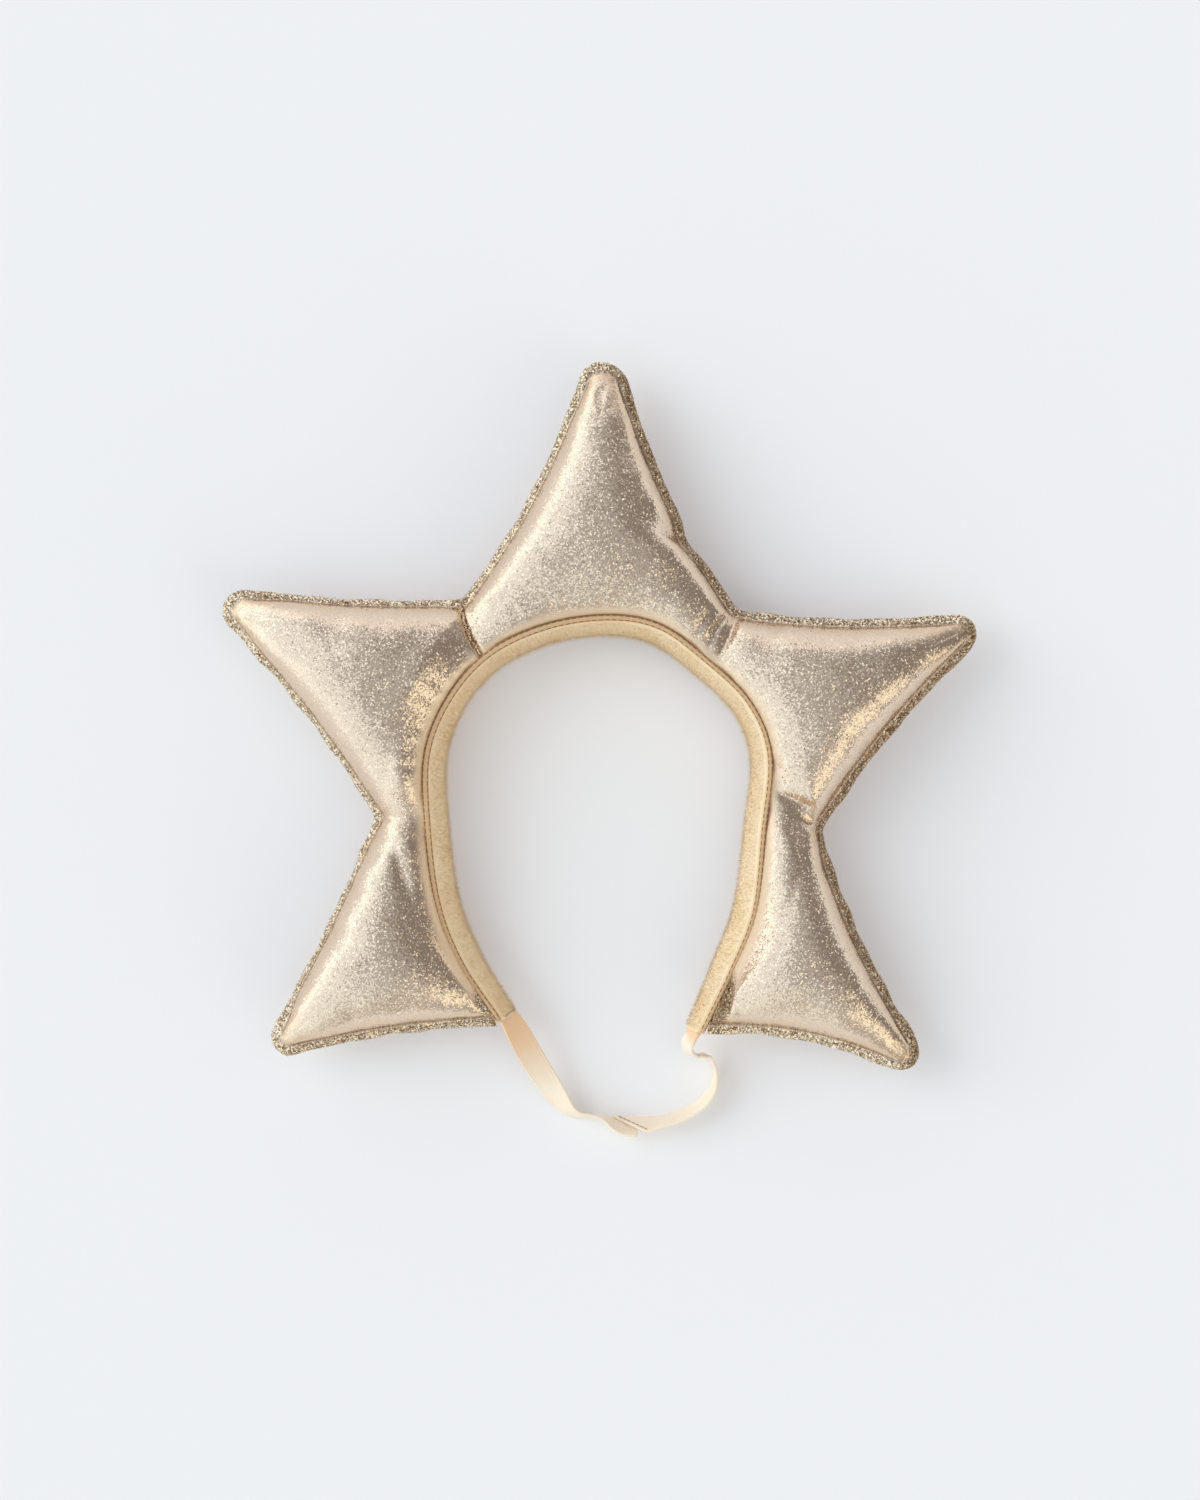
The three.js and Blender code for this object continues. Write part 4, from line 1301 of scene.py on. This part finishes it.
def elastic_cloth():
    graph = Finish("elastic_cloth")
    place = graph.place()
    weave = graph.noise(place, size_mm=0.6, detail=2.0)
    tone = graph.range(graph.noise(place, size_mm=14.0, detail=2.0), 0.3, 0.7)
    # Painted shade: a deeper peach near the band, where the strap turns away from the light
    peach = graph.mix(graph.value("peach"), graph.mix(tone, *ELASTIC_TONES), ELASTIC_PAINTED_SHADE_PEACH)
    finish = {
        "Base Color": graph.mix(graph.range(weave, 0.4, 0.8, to_high=0.3), peach, ELASTIC_DARK),
        "Roughness": 0.8,
        "Sheen Weight": 0.2,
        "Normal": graph.bump(weave, strength=0.3, depth_mm=0.2),
    }
    return graph.done(finish)


def floor_paint():
    graph = Finish("floor_paint")
    finish = {
        "Base Color": (0.81, 0.83, 0.85, 1),
        "Emission Color": (0.09, 0.078, 0.087, 1),
        "Emission Strength": 1.0,
        "Roughness": 0.9,
        "Specular IOR Level": 0.1,
    }
    return graph.done(finish)


# Stage

FLOOR_HALF = 4000.0
FLOOR_DROP = 0.2  # how far the floor lies below the part


def make_floor():
    half = FLOOR_HALF * MM
    mesh = bpy.data.meshes.new("floor")
    corners = [(-half, -half, 0), (half, -half, 0), (half, half, 0), (-half, half, 0)]
    mesh.from_pydata(corners, [], [(0, 1, 2, 3)])
    floor = new_object(mesh, floor_paint())
    floor.location.z = -FLOOR_DROP * MM


def make_camera():
    data = bpy.data.cameras.new("camera")
    data.sensor_width = SENSOR
    data.lens = SENSOR * CAMERA_DISTANCE / VIEW_HEIGHT
    camera = bpy.data.objects.new("camera", data)
    height = SEAM_HEIGHT + CAMERA_DISTANCE
    camera.location = (VIEW_CENTRE[0] * MM, VIEW_CENTRE[1] * MM, height * MM)
    bpy.context.scene.collection.objects.link(camera)
    bpy.context.scene.camera = camera


# The studio's walls: a dim dome, and lights on it that face one way. Each has the range in which it comes
# in from its sides, the heights up to which it is full and gone, and a color, below zero where it darkens
SKY_DOME = (0.45, 0.452, 0.463)
SKY_LIGHTS = table(
    "way sides heights color",
    ((-1.0, -0.10), (0.0, 0.5), (0.90, 0.945), (0.47, 0.55, 0.57)),
    ((-0.6, 0.80), (-0.20, 0.60), (0.36, 0.48), (0.50, 0.49, 0.49)),
    ((0.0, -1.0), (0.60, 0.96), (0.50, 0.85), (0.04, 0.02, -0.03)),
    ((0.79, -0.61), (0.86, 0.97), (0.64, 0.80), (0.92, 0.87, 0.67)),
    ((0.79, -0.61), (0.86, 0.97), (0.12, 0.30), (-0.88, -0.84, -0.66)),
    ((0.96, 0.28), (0.30, 0.85), (0.84, 0.96), (-0.22, -0.24, -0.26)),
)

# Lamps that show in no reflection: energy, size, lean from straight up and turn on the plan, in degrees
LAMPS = [("key", 0.86, 40, -56, -18), ("fill", 0.64, 90, 50, -10)]


def make_light():
    world = bpy.data.worlds.new("studio")
    world.use_nodes = True
    graph = Graph(world.node_tree)
    background = world.node_tree.nodes["Background"]
    way = graph.node("TexCoord", {}).outputs["Generated"]
    height = graph.node("SeparateXYZ", {0: way}).outputs["Z"]
    level = graph.normalized(graph.vector("MULTIPLY", way, (1, 1, 0)))
    total = SKY_DOME
    for light in SKY_LIGHTS:
        middle = (*unit(np.array(light["way"])), 0)
        facing = graph.node("VectorMath", {0: level, 1: middle}, operation="DOT_PRODUCT").outputs["Value"]
        aside = graph.range(facing, *light["sides"])
        low = graph.range(height, *light["heights"], 1.0, 0.0)
        share = graph.math("MULTIPLY", aside, low)
        total = graph.vector("ADD", total, graph.vector("SCALE", light["color"], share))
    graph.fill(background, {"Color": total})
    bpy.context.scene.world = world

    for name, energy, size, lean, turn in LAMPS:
        light = bpy.data.lights.new(name, "SUN")
        light.energy = energy
        light.angle = math.radians(size)
        lamp = bpy.data.objects.new(name, light)
        lamp.rotation_euler = (0, math.radians(lean), math.radians(turn))
        lamp.visible_glossy = False
        bpy.context.scene.collection.objects.link(lamp)


# Assembly


def settle(piece, slot, *nodes):
    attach(piece, "root")
    if nodes:
        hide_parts(*nodes)


def build():
    make_camera()
    webbing = elastic_cloth()
    straps = []
    for row in STRAPS:
        strap = elastic(row, webbing)
        settle(strap.piece, "elastic", row["node"])
        straps.append(strap)

    glitter = glitter_cloth()
    pile = velvet()
    brown = yarn("brown_thread", BROWN_TONES)
    rose = yarn("rose_thread", ROSE_TONES)
    woven = yarn("welt_cloth", WELT_TONES, **WELT_WEAVE)
    cover, parts = star_cover(glitter)
    settle(cover, "glitter_cloth", *(point["node"] for point in POINTS))
    settle(fold_edge(cover, glitter), "glitter_cloth")
    settle(flange_fray(parts, glitter), "glitter_cloth")
    settle(head_band(pile), "velvet", "band")
    settle(band_fuzz(pile), "velvet")
    settle(front_welt(woven), "welt_cloth", "front_welt")
    settle(welt_stitches(brown), "welt_cloth")
    settle(end_stitches(brown), "velvet")
    settle(lap_stitches(straps[1].end, rose), "elastic")
    make_floor()
    make_light()
    bpy.context.scene.view_settings.view_transform = "Standard"


build()
